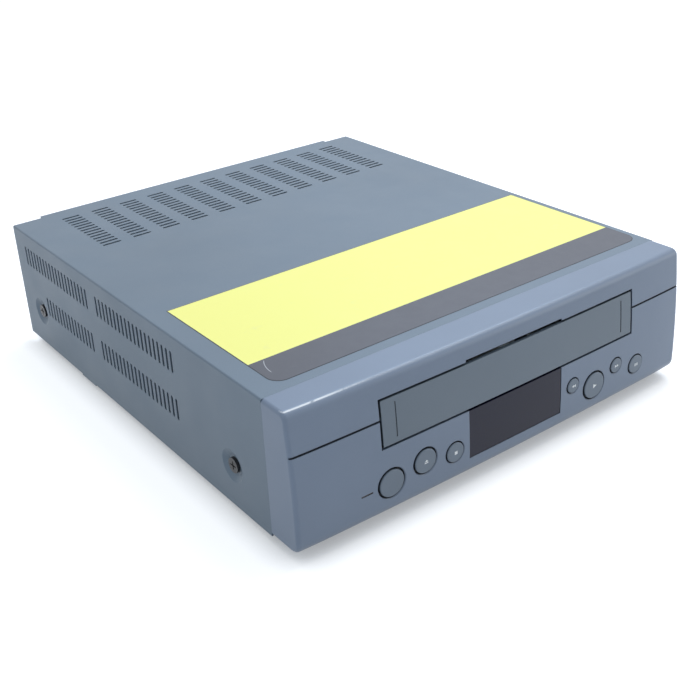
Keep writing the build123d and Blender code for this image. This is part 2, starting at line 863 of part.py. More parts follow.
with BuildPart() as cassette_door:
    add(flap_panel)
    for line in flap_lines:
        add(line, mode=Mode.SUBTRACT)
    with Locations(Plane(origin=(slot_centre, y_hinge, z_hinge), z_dir=(1, 0, 0))):
        Cylinder(z_hinge - z_sill - flap_sweep_gap, slot_width, mode=Mode.INTERSECT)
    box_between((flap_left, arm_front, lug_low), (flap_left + hinge_lug_width, arm_rear, flap_high))
    box_between((flap_right - hinge_lug_width, arm_front, lug_low), (flap_right, arm_rear, flap_high))
    for side, end in ((-1, flap_left), (1, flap_right)):
        pin_start = end - side * hinge_pin_root
        with Locations(Plane(origin=(pin_start, y_hinge, z_hinge), z_dir=(side, 0, 0))):
            Cylinder(
                hinge_pin_radius,
                hinge_pin_root + hinge_pin_length,
                align=(Align.CENTER, Align.CENTER, Align.MIN),
            )
write(cassette_door.part, "cassette_door")

window_pane = bowed_layer(
    window_recess,
    bezel_wall - window_recess,
    (window_left + window_gap, y_ahead, window_low + window_gap),
    (window_right - window_gap, y_seam, z_sill - window_gap),
)
window_rim = bowed_layer(
    bezel_wall,
    window_flange_thickness,
    (window_left - window_flange, y_ahead, window_low - window_flange),
    (window_right + window_flange, y_seam, z_sill - window_gap),
)

with BuildPart() as display_window:
    add(window_pane)
    add(window_rim)
write(display_window.part, "display_window")

with BuildPart() as standby_light:
    box_between(
        (light_x - light_width / 2, face_y(light_x, z_light) + light_recess, z_light - light_thickness / 2),
        (light_x + light_width / 2, y_front_board, z_light + light_thickness / 2),
    )
write(standby_light.part, "standby_light")

# ---------------------------------------------------------------- buttons and front board
y_switch = y_front_board - switch_height - switch_plunger_length
y_stem_end = y_switch - switch_slack - button_travel


def round_button(name, x, z, hole_radius, gap):
    """A round cap with its collar behind the wall and its stem to the switch."""
    y_cap = face_y(x, z) - button_proud
    y_collar = face_y(x, z) + bezel_wall + button_collar_gap
    with BuildPart() as button:
        with BuildSketch(facing_rear(x, y_cap, z)):
            Circle(hole_radius - gap)
        extrude(amount=y_collar - y_cap)
        fillet(button.edges().sort_by(Axis.Y)[0], button_edge_fillet)
        with BuildSketch(facing_rear(x, y_collar, z)):
            Circle(hole_radius + button_collar)
        extrude(amount=button_collar_length)
        with BuildSketch(facing_rear(x, y_collar, z)):
            Circle(button_stem_radius)
        extrude(amount=y_stem_end - y_collar)
    write(button.part, name)


for name, x, level, hole_radius, gap in button_table:
    round_button(name, x, z_case + level, hole_radius, gap)

front_board_low = z_bezel_under + bezel_wall

with BuildPart() as front_board:
    box_between(
        (front_board_left, y_front_board, front_board_low),
        (front_board_right, y_front_board + front_board_gauge, z_case + front_board_top),
    )
write(front_board.part, "front_board")

with BuildPart() as button_switches:
    for name, x, level, hole_radius, gap in button_table:
        with BuildSketch(facing_front(x, y_front_board, z_case + level)):
            Rectangle(switch_size, switch_size)
        extrude(amount=switch_height)
        with BuildSketch(facing_front(x, y_front_board, z_case + level)):
            Circle(switch_plunger_radius)
        extrude(amount=switch_height + switch_plunger_length)
write(button_switches.part, "button_switches")

display_middle = (window_low + z_sill) / 2

with BuildPart() as display_module:
    box_between(
        (window_left + display_margin, y_front_board - display_depth, display_middle - display_height / 2),
        (window_right - display_margin, y_front_board, display_middle + display_height / 2),
    )
    chamfer(display_module.edges().group_by(Axis.Y)[0], display_chamfer)
write(display_module.part, "display_module")

# ---------------------------------------------------------------- deck plate and its posts
drum_x, drum_y = deck_point(drum_offset, drum_place)
reel_points = [deck_point(side * reel_spacing / 2, reel_place) for side in (-1, 1)]
clutch_point = deck_point(0, clutch_place)
capstan_point = deck_point(capstan_offset, capstan_place)
pinch_pivot = deck_point(pinch_pivot_offset, pinch_pivot_place)
tension_pivot = deck_point(tension_pivot_offset, tension_pivot_place)
cam_point = deck_point(cam_offset, cam_place)
gear_centres = gear_module * (cam_teeth + pinion_teeth) / 2 + gear_centre_play
pinion_point = deck_point(
    cam_offset + gear_centres * cos(radians(pinion_direction)),
    cam_place + gear_centres * sin(radians(pinion_direction)),
)
guide_paths = (
    ("supply", deck_point(supply_start_offset, guide_start), deck_point(supply_end_offset, guide_end)),
    ("take_up", deck_point(take_up_start_offset, guide_start), deck_point(take_up_end_offset, guide_end)),
)
z_gear = deck_top + gear_lift
z_reel = deck_top + reel_rim_lift
z_pinch_arm = deck_top + pinch_arm_level
pinch_pin_top = z_pinch_arm + 2 * pinch_arm_thickness
cam_pin_top = z_gear + gear_height + cam_post_rise
tension_pin_top = deck_top + tension_arm_gap + tension_arm_thickness + tension_pin_rise


def upright(point, low, high, radius, mode=Mode.ADD):
    """An upright cylinder at a plan point, from a low to a high level, in the current part."""
    with Locations((point[0], point[1], low)):
        Cylinder(radius, high - low, align=(Align.CENTER, Align.CENTER, Align.MIN), mode=mode)


def path_angle(start, end):
    """Direction of a plan path, in degrees from +X."""
    return degrees(atan2(end[1] - start[1], end[0] - start[0]))


def between(start, end):
    """Plan point halfway."""
    return ((start[0] + end[0]) / 2, (start[1] + end[1]) / 2)


def path_length(start, end):
    """Length of a plan path."""
    return sqrt((end[0] - start[0]) ** 2 + (end[1] - start[1]) ** 2)


with BuildPart() as deck_plate:
    box_between(
        (deck_centre - deck_half_width, y_deck_front, deck_level),
        (deck_centre + deck_half_width, y_deck_rear, deck_top),
    )
    with BuildSketch(Plane.XY.offset(deck_level)):
        for name, start, end in guide_paths:
            with Locations(Location((*between(start, end), 0), (0, 0, path_angle(start, end)))):
                SlotOverall(
                    path_length(start, end) + guide_foot[0] + 2 * guide_tongue,
                    guide_tongue + 2 * guide_slot_play,
                )
        with Locations(clutch_point):
            Circle(clutch_shaft_radius + running_gap)
        with Locations(capstan_point):
            Circle(bearing_radius)
        with Locations(pinion_point):
            Circle(motor_shaft_radius + guide_slot_play)
    extrude(amount=deck_gauge, mode=Mode.SUBTRACT)
    upright(pinch_pivot, deck_top, pinch_pin_top, clutch_shaft_radius)
    upright(tension_pivot, deck_top, tension_pin_top, clutch_shaft_radius)
    upright(cam_point, deck_top, cam_pin_top, cam_post_radius)
    upright(cam_point, deck_top, z_gear - running_gap, 2 * cam_post_radius)
write(deck_plate.part, "deck_plate")

board_left = -half_chassis + chassis_gauge + board_side_gap
board_right = -board_left
y_board_rear = y_panel_front - board_rear_gap
y_board_strip = y_board_rear - board_strip_depth
y_board_front = y_seam + board_left_front
board_strip_right = deck_centre - deck_half_width - board_deck_gap

with BuildPart() as deck_posts:
    for side in (-1, 1):
        for y_post in (y_deck_front + post_inset, y_deck_rear - post_inset):
            post_point = (deck_centre + side * (deck_half_width - post_inset), y_post)
            upright(post_point, z_floor, deck_level, post_radius)
    board_post_points = (
        (board_left + post_inset, y_board_front + post_inset),
        (board_strip_right - post_inset, y_board_front + post_inset),
        (board_left + post_inset, y_board_strip - post_inset),
        (board_left + post_inset, y_board_rear - post_inset),
        (0, y_board_rear - post_inset),
        (board_right - post_inset, y_board_rear - post_inset),
        (board_right - post_inset, y_board_strip + post_inset),
    )
    for post_point in board_post_points:
        upright(post_point, z_floor, board_level, board_post_radius)
write(deck_posts.part, "deck_posts")

# ---------------------------------------------------------------- cassette carriage
y_pins = [y_tray + place for place in tray_pins]
y_way_front = y_pins[0] - tray_travel
guide_half = tray_pin_radius + guide_play


def guide_slot(low, high, width):
    """A slot with round ends between two (y, z) centres, in the current sketch."""
    middle = ((low[0] + high[0]) / 2, (low[1] + high[1]) / 2)
    with Locations(Location((*middle, 0), (0, 0, path_angle(low, high)))):
        SlotOverall(path_length(low, high) + width, width)


def side_bracket(side, name):
    """Upright side plate of the carriage with the bent way for the tray's pins."""
    with BuildPart() as bracket:
        with BuildSketch(Plane.YZ.offset(deck_centre + side * (bracket_inner + bracket_gauge / 2))):
            with BuildLine():
                Polyline(
                    (y_seam + bracket_front, bracket_nose_level),
                    (y_deck_front, bracket_nose_level),
                    (y_deck_front, deck_top),
                    (y_seam + bracket_rear, deck_top),
                    (y_seam + bracket_rear, z_bracket_top),
                    (y_seam + bracket_front, z_bracket_top),
                    close=True,
                )
            make_face()
            with BuildSketch(mode=Mode.SUBTRACT):
                guide_slot((y_way_front, z_tray_pin), (y_pins[1], z_tray_pin), 2 * guide_half)
                for y_pin in y_pins:
                    guide_slot((y_pin, z_tray_pin - tray_lift), (y_pin, z_tray_pin), 2 * guide_half)
        extrude(amount=bracket_gauge / 2, both=True)
        foot_inner = deck_centre + side * (bracket_inner + bracket_gauge / 2)
        foot_outer = deck_centre + side * (bracket_outer + bracket_foot)
        box_between(
            (min(foot_inner, foot_outer), y_seam + bracket_foot_front, deck_top),
            (max(foot_inner, foot_outer), y_seam + bracket_rear, deck_top + bracket_gauge),
        )
    write(bracket.part, name)


side_bracket(-1, "left_bracket")
side_bracket(1, "right_bracket")

z_bridge = z_bracket_top + bridge_gauge

with BuildPart() as bridge_plate:
    box_between(
        (deck_centre - bracket_outer, y_seam + bridge_front, z_bracket_top),
        (deck_centre + bracket_outer, y_seam + bridge_rear, z_bridge),
    )
write(bridge_plate.part, "bridge_plate")

z_slider_low = z_tray_pin - tray_lift - guide_half - slider_margin / 2
z_slider_high = z_tray_pin + guide_half + slider_margin / 2
z_bar = z_bridge + slider_bar_rise
y_slider_bar = y_tray + sum(slider_pegs) / 2
slider_outer = slider_inner + slider_gauge

with BuildPart() as tray_sliders:
    for side in (-1, 1):
        slider_middle = deck_centre + side * (slider_inner + slider_gauge / 2)
        with BuildSketch(Plane.YZ.offset(slider_middle)):
            with Locations(((y_pins[0] + y_pins[1]) / 2, (z_slider_low + z_slider_high) / 2)):
                Rectangle(
                    y_pins[1] - y_pins[0] + 2 * (guide_half + slider_margin),
                    z_slider_high - z_slider_low,
                )
            with Locations((y_slider_bar, (z_slider_low + z_bar + slider_gauge) / 2)):
                Rectangle(slider_bar, z_bar + slider_gauge - z_slider_low)
            with BuildSketch(mode=Mode.SUBTRACT):
                for y_pin in y_pins:
                    guide_slot((y_pin, z_tray_pin - tray_lift), (y_pin, z_tray_pin), 2 * guide_half)
        extrude(amount=slider_gauge / 2, both=True)
        for peg in slider_pegs:
            peg_plane = Plane(
                origin=(slider_middle, y_tray + peg, z_tray_pin), z_dir=(-side, 0, 0)
            )
            with Locations(peg_plane):
                Cylinder(
                    tray_pin_radius,
                    slider_gauge / 2 + slider_gap + bracket_gauge,
                    align=(Align.CENTER, Align.CENTER, Align.MIN),
                )
    box_between(
        (deck_centre - slider_outer, y_slider_bar - slider_bar / 2, z_bar),
        (deck_centre + slider_outer, y_slider_bar + slider_bar / 2, z_bar + slider_gauge),
    )
write(tray_sliders.part, "tray_sliders")

with BuildPart() as cassette_tray:
    box_between(
        (deck_centre - tray_outer, y_tray, z_tray - tray_floor_gauge),
        (deck_centre + tray_outer, y_tray + tray_length, z_tray),
    )
    cut_half = tray_outer - tray_shelf
    box_between(
        (deck_centre - cut_half, y_tray + tray_strip, z_tray - tray_floor_gauge),
        (deck_centre + cut_half, y_tray + tray_length, z_tray),
        Mode.SUBTRACT,
    )
    for side in (-1, 1):
        wall_middle = deck_centre + side * (tray_inner + tray_wall / 2)
        box_between(
            (wall_middle - tray_wall / 2, y_tray + tray_wall_start, z_tray - tray_floor_gauge),
            (wall_middle + tray_wall / 2, y_tray + tray_length, z_tray + tray_wall_height),
        )
        for y_pin in y_pins:
            with Locations(Plane(origin=(wall_middle, y_pin, z_tray_pin), z_dir=(side, 0, 0))):
                Cylinder(
                    tray_pin_radius,
                    tray_wall / 2 + tray_pin_reach,
                    align=(Align.CENTER, Align.CENTER, Align.MIN),
                )
write(cassette_tray.part, "cassette_tray")

# ---------------------------------------------------------------- head drum
drum_axis = Vector(-sin(radians(drum_tilt)), 0, cos(radians(drum_tilt)))
drum_plane = Plane(origin=(drum_x, drum_y, deck_top + drum_base_height), z_dir=drum_axis)


def drum_disc(low, high, radius, mode=Mode.ADD):
    """A cylinder about the drum's axis, between two heights over its base, in the current part."""
    with Locations(drum_plane.offset(low)):
        Cylinder(radius, high - low, align=(Align.CENTER, Align.CENTER, Align.MIN), mode=mode)


with BuildPart() as drum_base:
    upright((drum_x, drum_y), deck_top, deck_top + 2 * drum_base_height, drum_base_radius)
    drum_disc(0, 4 * drum_base_height, 2 * drum_base_radius, Mode.SUBTRACT)
write(drum_base.part, "drum_base")

with BuildPart() as lower_drum:
    drum_disc(0, lower_drum_height, drum_radius)
    drum_disc(0, lower_drum_height, drum_shaft_radius + drum_clearance, Mode.SUBTRACT)
write(lower_drum.part, "lower_drum")

upper_drum_low = lower_drum_height + drum_gap
upper_drum_high = upper_drum_low + upper_drum_height

with BuildPart() as upper_drum:
    drum_disc(upper_drum_low, upper_drum_high, drum_radius)
    drum_disc(upper_drum_high, upper_drum_high + drum_cap_height, drum_cap_radius)
    drum_disc(drum_gap, upper_drum_low, drum_shaft_radius)
    with Locations(drum_plane.offset(upper_drum_low)):
        with PolarLocations(drum_radius, head_count):
            Box(
                2 * (video_head_length + head_slot_gap),
                head_width + 2 * head_slot_gap,
                video_head_height,
                align=(Align.CENTER, Align.CENTER, Align.MIN),
                mode=Mode.SUBTRACT,
            )
write(upper_drum.part, "upper_drum")

with BuildPart() as video_heads:
    with Locations(drum_plane.offset(upper_drum_low)):
        with PolarLocations(drum_radius - video_head_length / 2, head_count):
            Box(
                video_head_length,
                head_width,
                video_head_height,
                align=(Align.CENTER, Align.CENTER, Align.MIN),
            )
    drum_disc(upper_drum_low, upper_drum_low + video_head_height, drum_radius, Mode.INTERSECT)
write(video_heads.part, "video_heads")

# ---------------------------------------------------------------- reels
with BuildPart() as reel_spindles:
    for point in reel_points:
        upright(point, deck_top, z_reel + reel_rim_height + reel_hub_height, reel_spindle_radius)
        upright(point, deck_top, z_reel - running_gap, 2 * reel_spindle_radius)
write(reel_spindles.part, "reel_spindles")


def reel_table(point, name):
    """A reel table: rim, splined hub and the bore that it turns on."""
    z_hub = z_reel + reel_rim_height
    with BuildPart() as table:
        upright(point, z_reel, z_hub, reel_rim_radius)
        upright(point, z_hub, z_hub + reel_hub_height, reel_hub_radius)
        with Locations((*point, z_hub)):
            with PolarLocations(reel_hub_radius, reel_spline_count):
                Box(
                    2 * reel_spline_reach,
                    reel_spline_width,
                    reel_hub_height,
                    align=(Align.CENTER, Align.CENTER, Align.MIN),
                )
        chamfer(table.faces().sort_by(Axis.Z)[-1].outer_wire().edges(), reel_spline_reach / 2)
        upright(point, z_reel, z_hub + reel_hub_height, reel_spindle_radius + running_gap, Mode.SUBTRACT)
    write(table.part, name)


reel_table(reel_points[0], "supply_reel_table")
reel_table(reel_points[1], "take_up_reel_table")

# ---------------------------------------------------------------- clutch, idler and belt
z_wheel = z_reel + reel_rim_height
z_idler_arm = z_wheel + pinch_clearance
clutch_top = z_idler_arm + idler_arm_thickness + clutch_shaft_rise
idler_point = (
    clutch_point[0],
    clutch_point[1] - clutch_rim_radius - idler_radius - friction_gap,
)
z_belt = belt_level + belt_width

with BuildPart() as clutch_wheel:
    upright(clutch_point, belt_level - belt_play, clutch_top, clutch_shaft_radius)
    upright(clutch_point, z_reel, z_wheel, clutch_rim_radius)
    upright(clutch_point, deck_top + running_gap, z_reel, 2 * clutch_shaft_radius)
    upright(clutch_point, z_belt, deck_level - running_gap, 2 * clutch_shaft_radius)
    upright(clutch_point, belt_level - belt_play, z_belt + belt_play, clutch_pulley_radius)
write(clutch_wheel.part, "clutch_wheel")

with BuildPart() as idler_arm:
    with BuildSketch(Plane.XY.offset(z_idler_arm)):
        with Locations(clutch_point):
            Circle(idler_arm_width)
        with Locations(idler_point):
            Circle(idler_arm_small)
        make_hull()
        with Locations(clutch_point):
            Circle(clutch_shaft_radius + running_gap, mode=Mode.SUBTRACT)
    extrude(amount=idler_arm_thickness)
    upright(idler_point, deck_top + tension_arm_gap, z_idler_arm, pinch_pin_radius)
    upright(idler_point, deck_top + tension_arm_gap, z_reel - running_gap, 2 * pinch_pin_radius)
write(idler_arm.part, "idler_arm")

with BuildPart() as idler_wheel:
    upright(idler_point, z_reel, z_wheel, idler_radius)
    upright(idler_point, z_reel, z_wheel, pinch_pin_radius + running_gap, Mode.SUBTRACT)
write(idler_wheel.part, "idler_wheel")

with BuildPart() as drive_belt:
    with BuildSketch(Plane.XY.offset(belt_level)):
        with Locations(clutch_point):
            Circle(clutch_pulley_radius + belt_play + belt_thickness)
        with Locations(capstan_point):
            Circle(capstan_pulley_radius + belt_play + belt_thickness)
        make_hull()
        with BuildSketch(mode=Mode.SUBTRACT):
            with Locations(clutch_point):
                Circle(clutch_pulley_radius + belt_play)
            with Locations(capstan_point):
                Circle(capstan_pulley_radius + belt_play)
            make_hull()
    extrude(amount=belt_width)
write(drive_belt.part, "drive_belt")

# ---------------------------------------------------------------- capstan and pinch roller
z_stator = stator_level + stator_plate
z_flywheel = z_stator + stator_coil_height + flywheel_gap
capstan_low = z_stator + running_gap

with BuildPart() as capstan_stator:
    upright(capstan_point, stator_level, z_stator, stator_radius)
    with Locations((*capstan_point, z_stator)):
        with PolarLocations(stator_coil_offset, stator_coil_count):
            Cylinder(
                stator_coil_radius,
                stator_coil_height,
                align=(Align.CENTER, Align.CENTER, Align.MIN),
            )
    upright(capstan_point, z_stator, z_stator + stator_cup_height, stator_cup_radius)
    upright(
        capstan_point,
        z_stator,
        z_stator + stator_cup_height,
        capstan_radius + running_gap,
        Mode.SUBTRACT,
    )
    for turn in (-90, 0, 90):
        stator_post = (
            capstan_point[0] + stator_post_offset * cos(radians(turn)),
            capstan_point[1] + stator_post_offset * sin(radians(turn)),
        )
        upright(stator_post, z_stator, deck_level, stator_post_radius)
write(capstan_stator.part, "capstan_stator")

with BuildPart() as capstan_bearing:
    upright(capstan_point, bearing_bottom, bearing_top, bearing_radius)
    upright(capstan_point, bearing_bottom, bearing_top, capstan_radius + running_gap, Mode.SUBTRACT)
write(capstan_bearing.part, "capstan_bearing")

with BuildPart() as capstan_rotor:
    upright(capstan_point, capstan_low, deck_top + capstan_height, capstan_radius)
    upright(capstan_point, z_flywheel, z_flywheel + flywheel_height, flywheel_radius)
    upright(capstan_point, z_flywheel, belt_level, bearing_radius)
    upright(capstan_point, belt_level - belt_play, z_belt + belt_play, capstan_pulley_radius)
write(capstan_rotor.part, "capstan_rotor")

press_distance = capstan_radius + pinch_roller_radius + friction_gap
pressed_point = (
    capstan_point[0] + press_distance * cos(radians(pinch_direction)),
    capstan_point[1] + press_distance * sin(radians(pinch_direction)),
)
pinch_reach = path_length(pinch_pivot, pressed_point)
pinch_rest = radians(path_angle(pinch_pivot, pressed_point) - pinch_swing)
pinch_point = (
    pinch_pivot[0] + pinch_reach * cos(pinch_rest),
    pinch_pivot[1] + pinch_reach * sin(pinch_rest),
)
z_pinch_roller = z_pinch_arm + pinch_arm_thickness + pinch_clearance

with BuildPart() as pinch_arm:
    with BuildSketch(Plane.XY.offset(z_pinch_arm)):
        with Locations(pinch_pivot):
            Circle(pinch_arm_width / 2 + pinch_pin_radius)
        with Locations(pinch_point):
            Circle(pinch_arm_width / 2)
        make_hull()
    extrude(amount=pinch_arm_thickness)
    upright(
        pinch_pivot,
        deck_top + running_gap,
        z_pinch_arm + pinch_arm_thickness,
        pinch_arm_width / 2 + pinch_pin_radius,
    )
    upright(
        pinch_pivot,
        deck_top,
        pinch_pin_top,
        clutch_shaft_radius + running_gap,
        Mode.SUBTRACT,
    )
    upright(
        pinch_point,
        z_pinch_arm,
        z_pinch_roller + pinch_roller_height + pinch_clearance,
        pinch_pin_radius,
    )
write(pinch_arm.part, "pinch_arm")

with BuildPart() as pinch_roller:
    upright(pinch_point, z_pinch_roller, z_pinch_roller + pinch_roller_height, pinch_roller_radius)
    upright(
        pinch_point,
        z_pinch_roller,
        z_pinch_roller + pinch_roller_height,
        pinch_pin_radius + running_gap,
        Mode.SUBTRACT,
    )
write(pinch_roller.part, "pinch_roller")

# ---------------------------------------------------------------- tape guides
z_guide = deck_top + guide_base_gap
z_guide_roller = deck_top + guide_roller_level
z_guide_cap = z_guide_roller + guide_roller_height + pinch_clearance
z_guide_foot = deck_level - guide_base_gap - guide_foot[2]


def tape_guide(name, start, end):
    """A sliding base with a roller's post and a tilted post, at the start of its path."""
    turn = path_angle(start, end)
    with BuildPart() as guide:
        with BuildSketch(Plane.XY.offset(z_guide)) as base:
            Rectangle(guide_base_length, guide_base_width)
            chamfer(base.vertices(), guide_base_width / 4)
        extrude(amount=guide_base_height)
        with BuildSketch(Plane.XY.offset(z_guide_foot)):
            Rectangle(guide_foot[0], guide_foot[1])
        extrude(amount=guide_foot[2])
        with BuildSketch(Plane.XY.offset(z_guide_foot)):
            Rectangle(guide_foot[0], guide_tongue)
        extrude(amount=z_guide - z_guide_foot)
        upright((0, 0), z_guide, z_guide_cap + guide_cap_height, guide_post_radius)
        upright((0, 0), z_guide_cap, z_guide_cap + guide_cap_height, guide_cap_radius)
        upright((0, 0), z_guide, z_guide_roller - pinch_clearance, guide_cap_radius)
        lean = radians(tilted_post_angle)
        with Locations(
            Plane(
                origin=(-tilted_post_offset, 0, z_guide),
                z_dir=(-sin(lean) / 2, sin(lean), cos(lean)),
            )
        ):
            Cylinder(
                tilted_post_radius,
                tilted_post_length,
                align=(Align.CENTER, Align.CENTER, Align.MIN),
            )
    placed = guide.part.moved(Location((*start, 0), (0, 0, turn)))
    write(placed, f"{name}_guide")


def guide_roller(name, start):
    """The roller that turns on a guide's post."""
    with BuildPart() as roller:
        upright(start, z_guide_roller, z_guide_roller + guide_roller_height, guide_roller_radius)
        upright(
            start,
            z_guide_roller,
            z_guide_roller + guide_roller_height,
            guide_post_radius + running_gap,
            Mode.SUBTRACT,
        )
    write(roller.part, f"{name}_roller")


for name, start, end in guide_paths:
    tape_guide(name, start, end)
    guide_roller(name, start)

# ---------------------------------------------------------------- fixed heads and tension arm
z_head = deck_top + head_level


def fixed_head(name, offset, place):
    """A tape head on its stand, with a rounded front."""
    x, y = deck_point(offset, place)
    with BuildPart() as head:
        with BuildSketch(Plane.XY.offset(deck_top)):
            with Locations((x, y)):
                Rectangle(head_plate[0], head_plate[1])
        extrude(amount=head_plate[2])
        upright((x, y), deck_top, z_head, head_stand_radius)
        with BuildSketch(Plane.XY.offset(z_head)):
            with Locations((x, y)):
                Rectangle(head_block, head_depth)
            with Locations((x, y + head_depth / 2)):
                Ellipse(head_block / 2, head_depth / 4)
        extrude(amount=head_height)
    write(head.part, name)


fixed_head("erase_head", erase_head_offset, erase_head_place)
fixed_head("audio_head", audio_head_offset, audio_head_place)

tension_point = (tension_pivot[0] + tension_reach[0], tension_pivot[1] + tension_reach[1])
z_tension = deck_top + tension_arm_gap

with BuildPart() as tension_arm:
    with BuildSketch(Plane.XY.offset(z_tension)):
        with Locations(tension_pivot):
            Circle(tension_arm_width / 2 + tension_arm_boss)
        with Locations(tension_point):
            Circle(tension_arm_width / 2)
        make_hull()
        with Locations(tension_pivot):
            Circle(clutch_shaft_radius + running_gap, mode=Mode.SUBTRACT)
    extrude(amount=tension_arm_thickness)
    upright(
        tension_point,
        z_tension,
        z_tension + tension_arm_thickness + tension_post_height,
        tension_post_radius,
    )
write(tension_arm.part, "tension_arm")

# ---------------------------------------------------------------- loading gears and motor


def involute(angle):
    """Involute function of an angle in radians."""
    return sin(angle) / cos(angle) - angle


def gear_outline(teeth, point, turn):
    """Involute gear in the current sketch, with one tooth pointing along a direction in degrees."""
    pitch_radius = gear_module * teeth / 2
    base_radius = pitch_radius * cos(radians(gear_pressure_angle))
    tip_radius = pitch_radius + gear_addendum * gear_module
    root_radius = pitch_radius - gear_dedendum * gear_module
    flank_start = max(base_radius, root_radius)
    half_angle = (pi * gear_module / 2 - gear_backlash) / (2 * pitch_radius)
    half_angle += involute(radians(gear_pressure_angle))
    flank = []
    for step in range(gear_flank_steps + 1):
        radius = flank_start + (tip_radius - flank_start) * step / gear_flank_steps
        roll = involute(acos(min(base_radius / radius, 1.0)))
        flank.append((radius, half_angle - roll))
    flank.insert(0, (root_radius - gear_root_overlap, flank[0][1]))
    outline = [(radius * cos(angle), radius * sin(angle)) for radius, angle in flank]
    outline += [(x, -y) for x, y in reversed(outline)]
    with Locations(Location((*point, 0), (0, 0, turn))):
        Circle(root_radius)
        with PolarLocations(0, teeth):
            Polygon(*outline, align=None)


with BuildPart() as cam_gear:
    with BuildSketch(Plane.XY.offset(z_gear)):
        gear_outline(cam_teeth, cam_point, pinion_direction)
    extrude(amount=gear_height)
    upright(cam_point, z_gear + gear_height, cam_pin_top - cam_hub_drop, 2 * cam_post_radius)
    upright(cam_point, z_gear, cam_pin_top, cam_post_radius + running_gap, Mode.SUBTRACT)
write(cam_gear.part, "cam_gear")

half_turn = 180.0
pinion_turn = pinion_direction + half_turn + half_turn / pinion_teeth   # a gap faces the cam's tooth

with BuildPart() as motor_pinion:
    with BuildSketch(Plane.XY.offset(z_gear)):
        gear_outline(pinion_teeth, pinion_point, pinion_turn)
    extrude(amount=gear_height)
    upright(pinion_point, deck_level - motor_shaft_depth, z_gear + gear_height, motor_shaft_radius)
write(motor_pinion.part, "motor_pinion")

with BuildPart() as loading_motor:
    upright(pinion_point, deck_level - motor_height, deck_level, motor_radius)
    upright(
        pinion_point,
        deck_level - motor_shaft_depth - pinch_clearance,
        deck_level,
        motor_shaft_radius + running_gap,
        Mode.SUBTRACT,
    )
write(loading_motor.part, "loading_motor")

with BuildPart() as shield_can:
    can_half_length = shield_size[0] / 2
    can_half_depth = shield_size[1] / 2
    can_y = y_seam + shield_place
    box_between(
        (drum_x - can_half_length, can_y - can_half_depth, deck_top),
        (drum_x + can_half_length, can_y + can_half_depth, deck_top + shield_size[2]),
    )
    box_between(
        (drum_x - can_half_length + shield_wall, can_y - can_half_depth + shield_wall, deck_top),
        (
            drum_x + can_half_length - shield_wall,
            can_y + can_half_depth - shield_wall,
            deck_top + shield_size[2] - shield_wall,
        ),
        Mode.SUBTRACT,
    )
write(shield_can.part, "shield_can")

# ---------------------------------------------------------------- boards and sockets
with BuildPart() as main_board:
    box_between((board_left, y_board_strip, board_level), (board_right, y_board_rear, board_top))
    box_between((board_left, y_board_front, board_level), (board_strip_right, y_board_rear, board_top))
write(main_board.part, "main_board")

strip_middle = (board_left + board_strip_right) / 2
capacitors = [(x, y_board_rear - gap, radius, height) for x, gap, radius, height in rear_capacitors]
for x, place, radius, height in strip_capacitors:
    capacitors.append((strip_middle + x, y_seam + place, radius, height))
board_blocks = [(x, y_board_rear - gap, *block_size) for x, gap, *block_size in rear_blocks]
for x, place, *block_size in strip_blocks:
    board_blocks.append((strip_middle + x, y_seam + place, *block_size))

with BuildPart() as board_components:
    for x, y, radius, height in capacitors:
        upright((x, y), board_top, board_top + height, radius)
    for x, y, width, depth, height in board_blocks:
        box_between(
            (x - width / 2, y - depth / 2, board_top),
            (x + width / 2, y + depth / 2, board_top + height),
        )
write(board_components.part, "board_components")

transformer_y = y_board_rear - transformer_rear_gap
coil_low = board_top + (transformer_core[2] - transformer_coil[2]) / 2

with BuildPart() as power_transformer:
    for width, depth, height, low in (
        (*transformer_core, board_top),
        (*transformer_coil, coil_low),
    ):
        box_between(
            (transformer_x - width / 2, transformer_y - depth / 2, low),
            (transformer_x + width / 2, transformer_y + depth / 2, low + height),
        )
write(power_transformer.part, "power_transformer")

z_scart = board_top + scart_height / 2
z_phono = board_top + phono_level
z_inlet = board_top + inlet_level
y_scart_mouth = y_panel_rear + scart_proud
y_inlet_mouth = y_panel_rear + inlet_proud

with BuildPart() as rear_panel:
    panel_half = half_inside - panel_gap
    box_between(
        (-panel_half, y_panel_front, z_chassis),
        (panel_half, y_panel_rear, z_top - cover_gauge - panel_gap),
    )
    with BuildSketch(facing_rear(0, y_panel_front, 0)):
        with Locations((scart_x, -z_scart)):
            Rectangle(scart_width + 2 * socket_gap, scart_height + 2 * socket_gap)
        with Locations(*[(x, -z_phono) for x in phono_x]):
            Circle(phono_radius + socket_gap)
        with Locations((inlet_x, -z_inlet)):
            Rectangle(inlet_width + 2 * socket_gap, inlet_height + 2 * socket_gap)
    extrude(amount=rear_panel_gauge, mode=Mode.SUBTRACT)
write(rear_panel.part, "rear_panel")

with BuildPart() as scart_socket:
    box_between(
        (scart_x - scart_width / 2, y_scart_mouth - scart_depth, board_top),
        (scart_x + scart_width / 2, y_scart_mouth, board_top + scart_height),
    )
    with BuildSketch(facing_rear(scart_x, y_scart_mouth - scart_cavity_depth, z_scart)) as cavity:
        Rectangle(scart_width - 2 * scart_wall, scart_height - 2 * scart_wall)
        chamfer(cavity.vertices().sort_by(Axis.X)[-1], scart_wall * 2)
    extrude(amount=scart_cavity_depth, mode=Mode.SUBTRACT)
    insert_half_width = scart_width / 2 - scart_wall - scart_insert_gap
    insert_half_height = scart_height / 2 - scart_wall - scart_insert_gap
    box_between(
        (scart_x - insert_half_width, y_scart_mouth - scart_depth, z_scart - insert_half_height),
        (
            scart_x + insert_half_width,
            y_scart_mouth - scart_insert_recess,
            z_scart + insert_half_height,
        ),
    )
write(scart_socket.part, "scart_socket")

